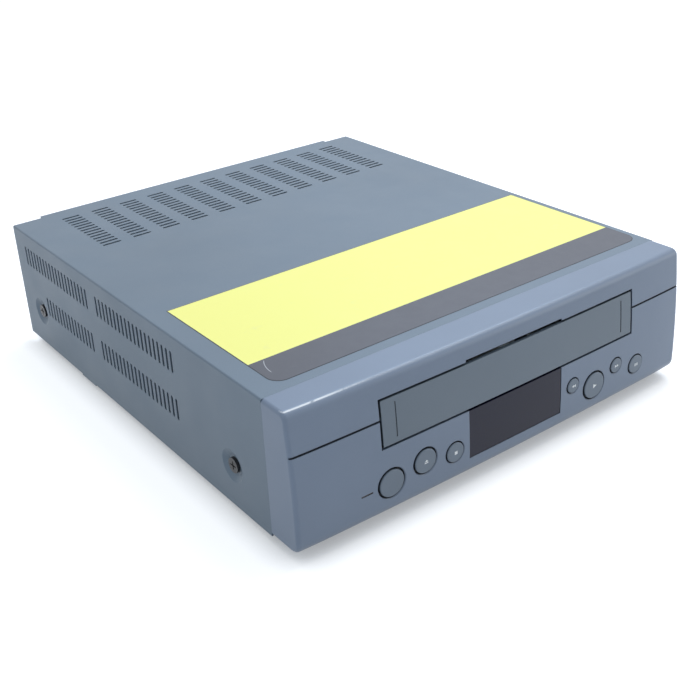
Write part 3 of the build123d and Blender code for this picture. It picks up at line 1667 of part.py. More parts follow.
with BuildPart() as phono_sockets:
    for x in phono_x:
        box_between(
            (x - phono_body / 2, y_panel_front - phono_body, board_top),
            (x + phono_body / 2, y_panel_front, z_phono + phono_body / 2),
        )
        with BuildSketch(facing_rear(x, y_panel_front - phono_root, z_phono)):
            Circle(phono_radius)
        extrude(amount=phono_length + rear_panel_gauge + phono_root)
        with BuildSketch(facing_rear(x, y_panel_rear + phono_length - phono_bore_depth, z_phono)):
            Circle(phono_bore)
        extrude(amount=phono_bore_depth, mode=Mode.SUBTRACT)
write(phono_sockets.part, "phono_sockets")

with BuildPart() as mains_inlet:
    with BuildSketch(facing_rear(inlet_x, y_inlet_mouth - inlet_depth, z_inlet)):
        Rectangle(inlet_width, inlet_height)
    extrude(amount=inlet_depth)
    with BuildSketch(facing_rear(inlet_x, y_panel_rear, z_inlet)):
        Rectangle(inlet_width + 2 * inlet_flange, inlet_height + 2 * inlet_flange)
    extrude(amount=inlet_proud)
    with BuildSketch(facing_rear(inlet_x, y_inlet_mouth - inlet_cavity_depth, z_inlet)):
        SlotOverall(inlet_cavity_width, inlet_cavity_height)
    extrude(amount=inlet_cavity_depth, mode=Mode.SUBTRACT)
    with BuildSketch(facing_rear(inlet_x, y_inlet_mouth - inlet_cavity_depth, z_inlet)):
        with GridLocations(inlet_pin_spacing, 0, 2, 1):
            Circle(inlet_pin_radius)
    extrude(amount=inlet_pin_length)
write(mains_inlet.part, "mains_inlet")
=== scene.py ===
from math import cos, radians, sin

import bmesh
import bpy
from mathutils import Matrix, Vector


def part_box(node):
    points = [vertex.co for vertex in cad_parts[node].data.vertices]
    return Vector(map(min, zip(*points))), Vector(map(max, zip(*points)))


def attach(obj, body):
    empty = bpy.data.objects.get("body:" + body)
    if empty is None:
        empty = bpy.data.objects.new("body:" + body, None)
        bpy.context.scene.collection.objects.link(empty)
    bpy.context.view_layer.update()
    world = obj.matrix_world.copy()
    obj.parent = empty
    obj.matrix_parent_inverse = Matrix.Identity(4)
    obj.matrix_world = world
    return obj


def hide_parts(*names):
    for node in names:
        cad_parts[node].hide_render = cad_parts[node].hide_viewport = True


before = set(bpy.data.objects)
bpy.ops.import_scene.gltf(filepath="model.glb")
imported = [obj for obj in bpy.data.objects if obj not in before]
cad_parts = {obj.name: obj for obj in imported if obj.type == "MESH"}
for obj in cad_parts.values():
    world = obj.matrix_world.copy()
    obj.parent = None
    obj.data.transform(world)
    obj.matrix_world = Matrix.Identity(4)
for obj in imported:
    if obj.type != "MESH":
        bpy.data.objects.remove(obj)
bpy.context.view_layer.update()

# The looks of a compact front-loading video cassette player: finishes for every CAD piece, and the
# small things that only show. Metres, in the part's own frame: +X is the viewer's right, the front
# faces -Y, +Z is up.

MM = 0.001

cover_low, cover_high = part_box("top_cover")
label_low, label_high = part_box("top_label")
seam_y = cover_low.y                    # where the front bezel meets the cover


# ---------------------------------------------------------------- node helpers
class Finish:
    """A procedural material in the making. Each helper adds a node and returns its output."""

    def __init__(self, name, roughness=0.5, metallic=0.0, specular=0.5):
        self.material = bpy.data.materials.new(name)
        self.material.use_nodes = True
        self.tree = self.material.node_tree
        self.shader = self.tree.nodes["Principled BSDF"]
        self.place = self.tree.nodes.new("ShaderNodeTexCoord").outputs["Object"]
        self.put("Roughness", roughness)
        self.put("Metallic", metallic)
        self.put("Specular IOR Level", specular)

    def put(self, socket, value):
        """Set or link one of the shader's sockets."""
        self.feed(self.shader.inputs[socket], value)

    def feed(self, socket, value):
        """Link an output to a socket, or set a plain value on it."""
        if isinstance(value, bpy.types.NodeSocket):
            self.tree.links.new(value, socket)
        elif isinstance(value, tuple) and len(value) == 3 and len(socket.default_value) == 4:
            socket.default_value = (*value, 1.0)
        else:
            socket.default_value = value

    def node(self, kind, settings=None, **inputs):
        """Add a node, with its settings and its inputs by name."""
        made = self.tree.nodes.new(kind)
        for key, value in (settings or {}).items():
            setattr(made, key, value)
        for key, value in inputs.items():
            self.feed(made.inputs[key.replace("_", " ")], value)
        return made

    def stretched(self, x, y, z):
        """The place, scaled along each axis."""
        made = self.node("ShaderNodeVectorMath", {"operation": "MULTIPLY"})
        self.feed(made.inputs[0], self.place)
        self.feed(made.inputs[1], (x, y, z))
        return made.outputs[0]

    def noise(self, size, detail=2.0, roughness=0.5, place=None):
        """Soft noise with features of a size in metres."""
        made = self.node(
            "ShaderNodeTexNoise",
            Vector=place or self.place,
            Scale=1.0 / size,
            Detail=detail,
            Roughness=roughness,
        )
        return made.outputs["Fac"]

    def cells(self, size, feature="F1", place=None):
        """Cell distances of a size in metres."""
        made = self.node(
            "ShaderNodeTexVoronoi", {"feature": feature}, Vector=place or self.place, Scale=1.0 / size
        )
        return made.outputs["Distance"]

    def spans(self, value, low, high, to_low=0.0, to_high=1.0):
        """A value taken from one range to another, and kept inside it."""
        made = self.node(
            "ShaderNodeMapRange",
            Value=value,
            From_Min=low,
            From_Max=high,
            To_Min=to_low,
            To_Max=to_high,
        )
        return made.outputs["Result"]

    def blend(self, share, first, second):
        """A colour between two colours."""
        made = self.node("ShaderNodeMix", {"data_type": "RGBA"})
        self.feed(made.inputs[0], share)
        self.feed(made.inputs[6], first)
        self.feed(made.inputs[7], second)
        return made.outputs[2]

    def sums(self, operation, first, second):
        """One step of arithmetic."""
        made = self.node("ShaderNodeMath", {"operation": operation})
        self.feed(made.inputs[0], first)
        self.feed(made.inputs[1], second)
        return made.outputs[0]

    def axis(self, name, place=None):
        """One coordinate of the place."""
        made = self.node("ShaderNodeSeparateXYZ")
        self.feed(made.inputs[0], place or self.place)
        return made.outputs[name]

    def bump(self, height, depth, strength=1.0, under=None):
        """Bumps of a depth in metres, over another normal."""
        made = self.node("ShaderNodeBump", Height=height, Distance=depth, Strength=strength)
        if under:
            self.feed(made.inputs["Normal"], under)
        return made.outputs["Normal"]

    def painted_crevice_shade(self, reach, darkest, colour):
        """A colour with painted shade: it darkens where other surfaces close in within a reach."""
        made = self.node("ShaderNodeAmbientOcclusion", {"samples": 6}, Distance=reach)
        openness = self.spans(made.outputs["AO"], 0.30, 0.80)
        return self.blend(openness, darkest, colour)

    def line(self, value, middle, half_width, blur):
        """1 within a half width of a middle value, fading over a blur."""
        away = self.sums("ABSOLUTE", self.sums("SUBTRACT", value, middle), 0.0)
        return self.spans(away, half_width, half_width + blur, 1.0, 0.0)

    def soft_edges(self, radius):
        """A normal that rounds sharp edges by a radius, and how near each point is to such an edge."""
        rounded = self.node("ShaderNodeBevel", {"samples": 4}, Radius=radius).outputs[0]
        flat = self.node("ShaderNodeNewGeometry").outputs["Normal"]
        meet = self.node("ShaderNodeVectorMath", {"operation": "DOT_PRODUCT"})
        self.feed(meet.inputs[0], rounded)
        self.feed(meet.inputs[1], flat)
        return rounded, self.spans(meet.outputs["Value"], 0.995, 0.90)


def toned(colour, factor):
    """A colour made lighter or darker."""
    return tuple(min(part * factor, 1.0) for part in colour)


# ---------------------------------------------------------------- finishes
PAINT_BLUE_GREY = (0.152, 0.202, 0.258)
BEZEL_BLUE_GREY = (0.194, 0.246, 0.336)
FLAP_BLUE_GREY = (0.150, 0.190, 0.236)
BUTTON_BLUE_GREY = (0.160, 0.202, 0.258)
# the dark colour painted in as shade where surfaces close in
CREVICE_SHADE_COLOUR = (0.008, 0.009, 0.011)
BARE_EDGE = (0.46, 0.49, 0.53)
CREVICE = 2.5 * MM                      # how far off a wall the painted shade still darkens a surface


def painted_steel():
    """Satin baked paint on sheet steel: fine orange peel, faint clouds, edges rubbed a little."""
    f = Finish("cover_paint_finish", specular=0.45)
    clouds = f.noise(0.11, 3.0)
    grain = f.noise(0.0007, 2.0, 0.6)
    tint = f.blend(f.spans(clouds, 0.3, 0.7), toned(PAINT_BLUE_GREY, 0.95), toned(PAINT_BLUE_GREY, 1.05))
    speckled = f.blend(f.spans(grain, 0.35, 0.65, 0.0, 0.22), tint, toned(PAINT_BLUE_GREY, 0.72))
    rounded, edge = f.soft_edges(0.5 * MM)
    rubbed = f.sums("MULTIPLY", edge, f.spans(f.noise(0.009, 4.0, 0.7), 0.56, 0.70, 0.0, 0.55))
    worn = f.blend(rubbed, speckled, BARE_EDGE)
    # painted shade: the paint darkens where other surfaces close in
    f.put("Base Color", f.painted_crevice_shade(CREVICE, CREVICE_SHADE_COLOUR, worn))
    f.put("Roughness", f.spans(f.noise(0.03, 3.0), 0.3, 0.7, 0.40, 0.47))
    peel = f.bump(f.noise(0.0016, 2.0), 0.03 * MM, 0.5, rounded)
    f.put("Normal", f.bump(grain, 0.02 * MM, 0.6, peel))
    return f.material


# A white line on the bezel's top front edge: partly rub marks, partly a painted highlight.
SCUFF_HIGHLIGHT_DROP = 0.34 * MM                  # of the line of rub marks and painted highlight, under the cover's top
SCUFF_HIGHLIGHT_HALF_WIDTH = 0.12 * MM
SCUFF_HIGHLIGHT_BLUR = 0.14 * MM
SCUFF_HIGHLIGHT_FADES = (24 * MM, 60 * MM)        # from the cover's left side
SCUFF_HIGHLIGHT_AHEAD = (17 * MM, 15 * MM)        # of the seam, where the marks are whole and where they end
SCUFF_HIGHLIGHT_STRENGTH = 0.8
SCUFF_HIGHLIGHT_WHITE = (0.80, 0.83, 0.86)


def scuff_and_highlight_line(f, colour):
    """White rub marks and a painted highlight line along the left end of the bezel's top front edge."""
    level = f.line(f.axis("Z"), cover_high.z - SCUFF_HIGHLIGHT_DROP, SCUFF_HIGHLIGHT_HALF_WIDTH, SCUFF_HIGHLIGHT_BLUR)
    fade_start, fade_end = (cover_low.x + run for run in SCUFF_HIGHLIGHT_FADES)
    left_end = f.spans(f.axis("X"), fade_start, fade_end, 1.0, 0.0)
    whole, ended = (seam_y - run for run in SCUFF_HIGHLIGHT_AHEAD)
    front = f.spans(f.axis("Y"), whole, ended, 1.0, 0.0)
    broken = f.spans(f.noise(0.006, 4.0, 0.7), 0.34, 0.50)
    mark = f.sums("MULTIPLY", f.sums("MULTIPLY", level, left_end), f.sums("MULTIPLY", front, broken))
    return f.blend(f.sums("MULTIPLY", mark, SCUFF_HIGHLIGHT_STRENGTH), colour, SCUFF_HIGHLIGHT_WHITE)


def moulded(name, colour, low_gloss, high_gloss, grain_depth=0.02, highlit_scuffs=False):
    """Moulded plastic with a fine eroded grain and hardly any clouds."""
    f = Finish(name, specular=0.5)
    grain = f.noise(0.0005, 2.0, 0.65)
    clouds = f.noise(0.06, 2.0)
    tint = f.blend(f.spans(clouds, 0.3, 0.7), toned(colour, 0.97), toned(colour, 1.03))
    rounded, edge = f.soft_edges(0.35 * MM)
    rubbed = f.sums("MULTIPLY", edge, f.spans(f.noise(0.007, 4.0, 0.7), 0.55, 0.72, 0.0, 0.35))
    speckled = f.blend(f.spans(grain, 0.35, 0.65, 0.0, 0.14), tint, toned(colour, 0.75))
    worn = f.blend(rubbed, speckled, toned(colour, 1.9))
    # rub marks and a painted highlight along the top front edge
    if highlit_scuffs:
        worn = scuff_and_highlight_line(f, worn)
    # painted shade: the plastic darkens in gaps and grooves where other surfaces close in
    f.put("Base Color", f.painted_crevice_shade(CREVICE, CREVICE_SHADE_COLOUR, worn))
    f.put("Roughness", f.spans(f.noise(0.02, 3.0), 0.3, 0.7, low_gloss, high_gloss))
    f.put("Normal", f.bump(grain, grain_depth * MM, 0.6, rounded))
    return f.material


def smoked_window():
    """Dark smoked plastic: polished, with faint moulding waves and a little dust."""
    f = Finish("window_plastic_finish", specular=0.28)
    dust = f.spans(f.noise(0.0012, 4.0, 0.7), 0.62, 0.75, 0.0, 0.10)
    f.put("Base Color", f.blend(dust, (0.004, 0.005, 0.024), (0.10, 0.10, 0.14)))
    f.put("Roughness", f.spans(f.noise(0.01, 3.0), 0.3, 0.7, 0.16, 0.22))
    f.put("Normal", f.bump(f.noise(0.02, 1.0), 0.05 * MM, 0.3))
    return f.material


def light_pipe():
    """The unlit standby light: dark red-brown translucent plastic."""
    f = Finish("light_plastic_finish")
    f.put("Base Color", f.blend(f.noise(0.002), (0.015, 0.014, 0.017), (0.035, 0.024, 0.028)))
    f.put("Roughness", f.spans(f.noise(0.001), 0.3, 0.7, 0.22, 0.34))
    return f.material


def rubber(name, colour, roughness=0.8):
    """Moulded or ground rubber with a fine matt grain."""
    f = Finish(name, specular=0.3)
    grain = f.noise(0.0006, 3.0, 0.7)
    f.put("Base Color", f.blend(f.spans(grain, 0.3, 0.7), toned(colour, 0.8), toned(colour, 1.35)))
    f.put("Roughness", f.spans(f.noise(0.004), 0.3, 0.7, roughness - 0.08, roughness + 0.06))
    f.put("Normal", f.bump(grain, 0.04 * MM, 0.5))
    return f.material


def blackened_screw():
    """Black oxidised steel, rubbed to grey where the driver and the edges wear it."""
    f = Finish("screw_black_finish", metallic=0.6)
    rounded, edge = f.soft_edges(0.25 * MM)
    worn = f.sums("MULTIPLY", edge, f.spans(f.noise(0.0015, 3.0), 0.4, 0.6, 0.2, 0.9))
    dull = f.blend(f.noise(0.0012, 3.0), (0.028, 0.028, 0.032), (0.075, 0.072, 0.074))
    f.put("Base Color", f.blend(worn, dull, (0.34, 0.33, 0.33)))
    f.put("Roughness", f.spans(f.noise(0.002), 0.3, 0.7, 0.30, 0.46))
    f.put("Normal", f.bump(f.noise(0.0006), 0.02 * MM, 0.5, rounded))
    return f.material


def zinc_sheet():
    """Zinc-plated sheet: faint crystal patches, rolled streaks and a yellowish haze."""
    f = Finish("zinc_steel_finish", metallic=1.0)
    patches = f.node("ShaderNodeTexVoronoi", Vector=f.place, Scale=1.0 / 0.006).outputs["Color"]
    patch = f.axis("X", patches)
    streak = f.noise(0.0009, 2.0, place=f.stretched(1.0, 0.05, 1.0))
    tint = f.blend(f.spans(patch, 0.0, 1.0), (0.46, 0.465, 0.46), (0.50, 0.495, 0.475))
    rolled = f.blend(f.spans(streak, 0.35, 0.65, 0.0, 0.35), tint, (0.44, 0.45, 0.45))
    # painted shade: the sheet darkens where other parts close in
    f.put("Base Color", f.painted_crevice_shade(5 * MM, toned(CREVICE_SHADE_COLOUR, 4.0), rolled))
    f.put("Roughness", f.spans(patch, 0.0, 1.0, 0.36, 0.42))
    f.put("Normal", f.bump(streak, 0.01 * MM, 0.4))
    return f.material


def turned_metal(name, colour, low, high, streak_size=0.0004, metallic=1.0):
    """Turned or ground metal with fine level marks and a soft haze."""
    f = Finish(name, metallic=metallic)
    marks = f.noise(streak_size, 2.0, place=f.stretched(0.06, 0.06, 1.0))
    haze = f.noise(0.006, 3.0)
    rounded, edge = f.soft_edges(0.2 * MM)
    tint = f.blend(f.spans(marks, 0.3, 0.7), toned(colour, 0.86), toned(colour, 1.06))
    f.put("Base Color", f.blend(f.spans(haze, 0.4, 0.8, 0.0, 0.3), tint, toned(colour, 0.8)))
    f.put("Roughness", f.spans(haze, 0.3, 0.7, low, high))
    f.put("Normal", f.bump(marks, 0.008 * MM, 0.5, rounded))
    return f.material


def circuit_board(name, mask, track):
    """A circuit board: lacquer over a maze of copper tracks, with weave in the laminate."""
    f = Finish(name, specular=0.5)
    lanes = f.node(
        "ShaderNodeTexVoronoi",
        {"distance": "CHEBYCHEV", "feature": "F1"},
        Vector=f.stretched(1.0, 1.0, 0.0),
        Scale=1.0 / 0.007,
    ).outputs["Distance"]
    rings = f.sums("FRACT", f.sums("MULTIPLY", lanes, 5.0), 0.0)
    on_track = f.spans(rings, 0.46, 0.54)
    weave = f.noise(0.0008, 1.0, place=f.stretched(1.0, 0.3, 1.0))
    ground = f.blend(f.spans(weave, 0.3, 0.7), toned(mask, 0.88), toned(mask, 1.12))
    f.put("Base Color", f.blend(on_track, ground, track))
    f.put("Roughness", f.spans(weave, 0.3, 0.7, 0.28, 0.40))
    f.put("Normal", f.bump(on_track, 0.035 * MM, 0.8))
    return f.material


def display_glass():
    """The unlit display behind the window: dark glass over a faint grid of cells."""
    f = Finish("display_glass_finish", roughness=0.12)
    cell = f.cells(0.003, place=f.stretched(1.0, 0.0, 1.0))
    f.put("Base Color", f.blend(f.spans(cell, 0.2, 0.5), (0.03, 0.045, 0.045), (0.012, 0.018, 0.02)))
    f.put("Roughness", f.spans(f.noise(0.004), 0.3, 0.7, 0.08, 0.14))
    return f.material


WINDING_STARTS = (0.02 * MM, 0.08 * MM)  # past the transformer's plates, where its tape comes in


def laminations():
    """Transformer: varnished plates with fine upright lines, and a taped winding past them."""
    f = Finish("core_steel_finish")
    low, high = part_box("power_transformer")
    away = f.sums("ABSOLUTE", f.sums("SUBTRACT", f.axis("Y"), (low.y + high.y) / 2), 0.0)
    plates_end = (high.y - low.y) / 4
    winding = f.spans(away, plates_end + WINDING_STARTS[0], plates_end + WINDING_STARTS[1])
    turns = f.noise(0.0022, 1.0, place=f.stretched(0.05, 0.05, 1.0))
    tape = f.blend(f.spans(turns, 0.42, 0.58), (0.62, 0.48, 0.10), (0.78, 0.64, 0.22))
    lines = f.noise(0.0005, 0.0, place=f.stretched(0.02, 1.0, 0.02))
    varnish = f.noise(0.008, 3.0)
    tint = f.blend(f.spans(lines, 0.4, 0.6), (0.10, 0.085, 0.07), (0.22, 0.20, 0.18))
    plates = f.blend(f.spans(varnish, 0.4, 0.7, 0.0, 0.5), tint, (0.16, 0.09, 0.04))
    f.put("Base Color", f.blend(winding, plates, tape))
    f.put("Metallic", f.sums("MULTIPLY", f.sums("SUBTRACT", 1.0, winding), 0.4))
    f.put("Roughness", f.spans(varnish, 0.3, 0.7, 0.34, 0.55))
    f.put("Normal", f.bump(lines, 0.06 * MM, 0.8))
    return f.material


PHONO_INSULATOR = 2.9 * MM
PHONO_COLOURS = ((0.86, 0.62, 0.03), (0.86, 0.85, 0.80))
PHONO_BODY_WIDTH = 0.75                 # of the sockets' height
PHONO_BARREL_LEVEL = 0.625              # of the sockets' height
PRINT_BLUR = 0.05 * MM                  # of the line between two colours or metals


def phono_parts():
    """Phono sockets: black bodies, nickel barrels, and a coloured insulator inside each mouth."""
    f = Finish("phono_parts_finish")
    low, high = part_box("phono_sockets")
    body = (high.z - low.z) * PHONO_BODY_WIDTH
    barrel_z = low.z + (high.z - low.z) * PHONO_BARREL_LEVEL
    panel_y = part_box("rear_panel")[1].y
    outside = f.spans(f.axis("Y"), panel_y - PRINT_BLUR, panel_y)
    colour = f.blend(outside, (0.022, 0.022, 0.024), (0.70, 0.68, 0.64))
    metal = outside
    for barrel_x, insulator in zip((low.x + body / 2, high.x - body / 2), PHONO_COLOURS):
        away = f.node("ShaderNodeVectorMath", {"operation": "DISTANCE"})
        f.feed(away.inputs[0], f.stretched(1.0, 0.0, 1.0))
        f.feed(away.inputs[1], (barrel_x, 0.0, barrel_z))
        near = f.spans(away.outputs["Value"], PHONO_INSULATOR - PRINT_BLUR, PHONO_INSULATOR, 1.0, 0.0)
        colour = f.blend(near, colour, insulator)
        metal = f.sums("MULTIPLY", metal, f.sums("SUBTRACT", 1.0, near))
    haze = f.noise(0.003, 3.0)
    # painted shade: the sockets darken where surfaces close in round them
    f.put("Base Color", f.painted_crevice_shade(2.0 * MM, CREVICE_SHADE_COLOUR, colour))
    f.put("Metallic", metal)
    f.put("Roughness", f.spans(haze, 0.3, 0.7, 0.24, 0.38))
    f.put("Normal", f.bump(f.noise(0.0005), 0.01 * MM, 0.4))
    return f.material


def sleeved_parts():
    """Board parts: sleeves and cases in dark blues, browns and blacks, told apart by place."""
    f = Finish("board_parts_finish", specular=0.5)
    lots = f.node("ShaderNodeTexVoronoi", Vector=f.stretched(1.0, 1.0, 0.0), Scale=1.0 / 0.030)
    lot = f.axis("X", lots.outputs["Color"])
    tint = f.blend(f.spans(lot, 0.35, 0.40), (0.018, 0.020, 0.028), (0.030, 0.045, 0.10))
    tint = f.blend(f.spans(lot, 0.70, 0.75), tint, (0.075, 0.040, 0.025))
    grain = f.noise(0.0006, 2.0)
    f.put("Base Color", f.blend(f.spans(grain, 0.35, 0.65, 0.0, 0.3), tint, (0.06, 0.06, 0.065)))
    f.put("Roughness", f.spans(f.noise(0.004), 0.3, 0.7, 0.30, 0.46))
    f.put("Normal", f.bump(grain, 0.01 * MM, 0.5))
    return f.material


def white_ink():
    """Screen-printed white: slightly raised, with a soft grain."""
    f = Finish("print_white_finish", specular=0.4)
    grain = f.noise(0.0004, 2.0)
    f.put("Base Color", f.blend(f.spans(grain, 0.3, 0.7), (0.90, 0.92, 0.94), (0.97, 0.98, 0.99)))
    f.put("Roughness", f.spans(grain, 0.3, 0.7, 0.45, 0.6))
    f.put("Normal", f.bump(grain, 0.01 * MM, 0.4))
    return f.material


CREASE_CENTRE = (30 * MM, 13 * MM)      # of its bend, from the sticker's front left corner
CREASE_BEND = 24 * MM
CREASE_HALF_WIDTH = 0.10 * MM
CREASE_BLUR = 0.22 * MM
CREASE_MIDDLE = 19.5 * MM               # behind the sticker's front edge
CREASE_HALF_LENGTH = 6 * MM
CREASE_FADE = 1.5 * MM
CREASE_SIDE = (14 * MM, 15 * MM)        # from the sticker's left side, where the crease stops
CREASE_STRENGTH = 0.85
CREASE_GREY = (0.52, 0.53, 0.56)


def creased(f, colour):
    """A pale curved crease near the left end of the printed band."""
    away = f.node("ShaderNodeVectorMath", {"operation": "DISTANCE"})
    f.feed(away.inputs[0], f.stretched(1.0, 1.0, 0.0))
    f.feed(away.inputs[1], (label_low.x + CREASE_CENTRE[0], label_low.y + CREASE_CENTRE[1], 0.0))
    mark = f.line(away.outputs["Value"], CREASE_BEND, CREASE_HALF_WIDTH, CREASE_BLUR)
    short = f.line(f.axis("Y"), label_low.y + CREASE_MIDDLE, CREASE_HALF_LENGTH, CREASE_FADE)
    near_side, far_side = (label_low.x + run for run in CREASE_SIDE)
    left = f.spans(f.axis("X"), near_side, far_side, 1.0, 0.0)
    drawn = f.sums("MULTIPLY", mark, f.sums("MULTIPLY", short, left))
    return f.blend(f.sums("MULTIPLY", drawn, CREASE_STRENGTH), colour, CREASE_GREY)


def label_print(name, colour, shade, gloss, crease=False):
    """Printed adhesive film: even ink, a faint roller texture and a few rubbed spots."""
    f = Finish(name, specular=0.45)
    roller = f.noise(0.0006, 2.0, 0.6)
    rubs = f.noise(0.018, 5.0, 0.75)
    inked = f.blend(f.spans(roller, 0.3, 0.7), toned(colour, 0.985), toned(colour, 1.015))
    ink = f.blend(f.spans(rubs, 0.60, 0.78, 0.0, 0.30), inked, shade)
    f.put("Base Color", creased(f, ink) if crease else ink)
    f.put("Roughness", f.spans(rubs, 0.3, 0.7, gloss - 0.05, gloss + 0.06))
    waves = f.bump(f.noise(0.03, 2.0), 0.12 * MM, 0.35)
    f.put("Normal", f.bump(roller, 0.008 * MM, 0.4, waves))
    return f.material


finishes = {
    "cover_paint": painted_steel(),
    "bezel_plastic": moulded("bezel_plastic_finish", BEZEL_BLUE_GREY, 0.33, 0.39, highlit_scuffs=True),
    "flap_plastic": moulded("flap_plastic_finish", FLAP_BLUE_GREY, 0.36, 0.42),
    "button_plastic": moulded("button_plastic_finish", BUTTON_BLUE_GREY, 0.38, 0.44, 0.01),
    "window_plastic": smoked_window(),
    "light_plastic": light_pipe(),
    "label_film": label_print("label_film_finish", (0.030, 0.031, 0.038), (0.08, 0.08, 0.09), 0.42),
    "foot_rubber": rubber("foot_rubber_finish", (0.022, 0.022, 0.023)),
    "screw_black": blackened_screw(),
    "zinc_steel": zinc_sheet(),
    "bright_steel": turned_metal("bright_steel_finish", (0.60, 0.60, 0.59), 0.26, 0.38),
    "drum_aluminium": turned_metal("drum_aluminium_finish", (0.80, 0.80, 0.81), 0.16, 0.26, 0.0003),
    "chrome_pin": turned_metal("chrome_pin_finish", (0.72, 0.73, 0.74), 0.07, 0.15),
    "brass_bush": turned_metal("brass_bush_finish", (0.68, 0.46, 0.20), 0.26, 0.38),
    "black_plastic": moulded("black_plastic_finish", (0.022, 0.022, 0.024), 0.40, 0.50),
    "white_plastic": moulded("white_plastic_finish", (0.74, 0.73, 0.68), 0.34, 0.44, 0.01),
    "board_green": circuit_board("board_green_finish", (0.02, 0.13, 0.055), (0.05, 0.23, 0.09)),
    "board_brown": circuit_board("board_brown_finish", (0.30, 0.16, 0.065), (0.42, 0.26, 0.11)),
    "display_glass": display_glass(),
    "belt_rubber": rubber("belt_rubber_finish", (0.016, 0.016, 0.017), 0.6),
    "roller_rubber": rubber("roller_rubber_finish", (0.040, 0.034, 0.032), 0.55),
    "core_steel": laminations(),
}
print_white = white_ink()
label_yellow = label_print("label_yellow_finish", (0.99, 0.95, 0.27), (0.86, 0.84, 0.42), 0.44)
label_grey = label_print(
    "label_grey_finish", (0.082, 0.085, 0.104), (0.16, 0.16, 0.18), 0.42, crease=True
)

special_finishes = {
    "phono_sockets": phono_parts(),
    "board_components": sleeved_parts(),
}

for name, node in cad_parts.items():
    for material_slot in node.material_slots:
        by_slot = finishes[material_slot.material.name.split(".")[0]]
        material_slot.material = special_finishes.get(name, by_slot)


# ---------------------------------------------------------------- mesh helpers
def piece(name, mesh_maker, materials, body):
    """A new object from a function that fills a bmesh, riding on a body."""
    mesh = bpy.data.meshes.new(name)
    work = bmesh.new()
    mesh_maker(work)
    bmesh.ops.recalc_face_normals(work, faces=work.faces)
    work.to_mesh(mesh)
    work.free()
    made = bpy.data.objects.new(name, mesh)
    bpy.context.scene.collection.objects.link(made)
    for material in materials:
        mesh.materials.append(material)
    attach(made, body)
    return made


def raised_outline(work, outline, place, along, material=0):
    """A flat outline of (u, v) points put in space by place(u, v), raised by a vector."""
    low = [work.verts.new(place(u, v)) for u, v in outline]
    high = [work.verts.new(place(u, v) + along) for u, v in outline]
    faces = [work.faces.new(low), work.faces.new(high)]
    for i in range(len(outline)):
        after = (i + 1) % len(outline)
        faces.append(work.faces.new((low[i], low[after], high[after], high[i])))
    for face in faces:
        face.material_index = material
    return faces


def arc(centre, radius, start, end, steps):
    """Points along an arc in degrees."""
    points = []
    for i in range(steps + 1):
        turn = radians(start + (end - start) * i / steps)
        points.append((centre[0] + radius * cos(turn), centre[1] + radius * sin(turn)))
    return points


# ---------------------------------------------------------------- sticker on the cover
LABEL_FRONT_CORNER = 9.0 * MM
LABEL_BORDER = 0.5 * MM
BAND_DEPTH = 28.0 * MM
INK_RISE = 0.02 * MM
CORNER_STEPS = 10


def label_outline(left, right, front, rear, corner):
    """A sheet's outline: sharp rear corners, round front corners."""
    outline = [(right, rear), (left, rear)]
    outline += arc((left + corner, front + corner), corner, 180, 270, CORNER_STEPS)
    outline += arc((right - corner, front + corner), corner, 270, 360, CORNER_STEPS)
    return outline


def label_film(work):
    """The dark film under the print."""
    outline = label_outline(label_low.x, label_high.x, label_low.y, label_high.y, LABEL_FRONT_CORNER)
    rise = Vector((0, 0, label_high.z - label_low.z - INK_RISE))
    raised_outline(work, outline, lambda u, v: Vector((u, v, label_low.z)), rise)


def printed_field(front, rear, corner):
    """A maker of one printed field of the sticker, with round front corners or none."""

    def fill(work):
        left, right = label_low.x + LABEL_BORDER, label_high.x - LABEL_BORDER
        if corner:
            outline = label_outline(left, right, front, rear, corner)
        else:
            outline = [(left, front), (right, front), (right, rear), (left, rear)]
        base = label_high.z - INK_RISE
        raised_outline(work, outline, lambda u, v: Vector((u, v, base)), Vector((0, 0, INK_RISE)))

    return fill


band_rear = label_low.y + BAND_DEPTH
film = piece("sticker_film", label_film, [finishes["label_film"]], "case")
grey_band = printed_field(label_low.y + LABEL_BORDER, band_rear, LABEL_FRONT_CORNER - LABEL_BORDER)
yellow_field = printed_field(band_rear, label_high.y - LABEL_BORDER, 0)
piece("sticker_band", grey_band, [label_grey], "case")
piece("sticker_yellow", yellow_field, [label_yellow], "case")
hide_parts("top_label")


# ---------------------------------------------------------------- printed symbols on the buttons
PRINT_RISE = 0.03 * MM


def triangle(x, z, width, height, turn=0):
    """A triangle that points along +X, turned by an angle in degrees."""
    corners = [(width / 2, 0.0), (-width / 2, height / 2), (-width / 2, -height / 2)]
    c, s = cos(radians(turn)), sin(radians(turn))
    return [(x + u * c - v * s, z + u * s + v * c) for u, v in corners]


def bar(x, z, width, height):
    """An upright bar or a square."""
    return [
        (x - width / 2, z - height / 2),
        (x + width / 2, z - height / 2),
        (x + width / 2, z + height / 2),
        (x - width / 2, z + height / 2),
    ]


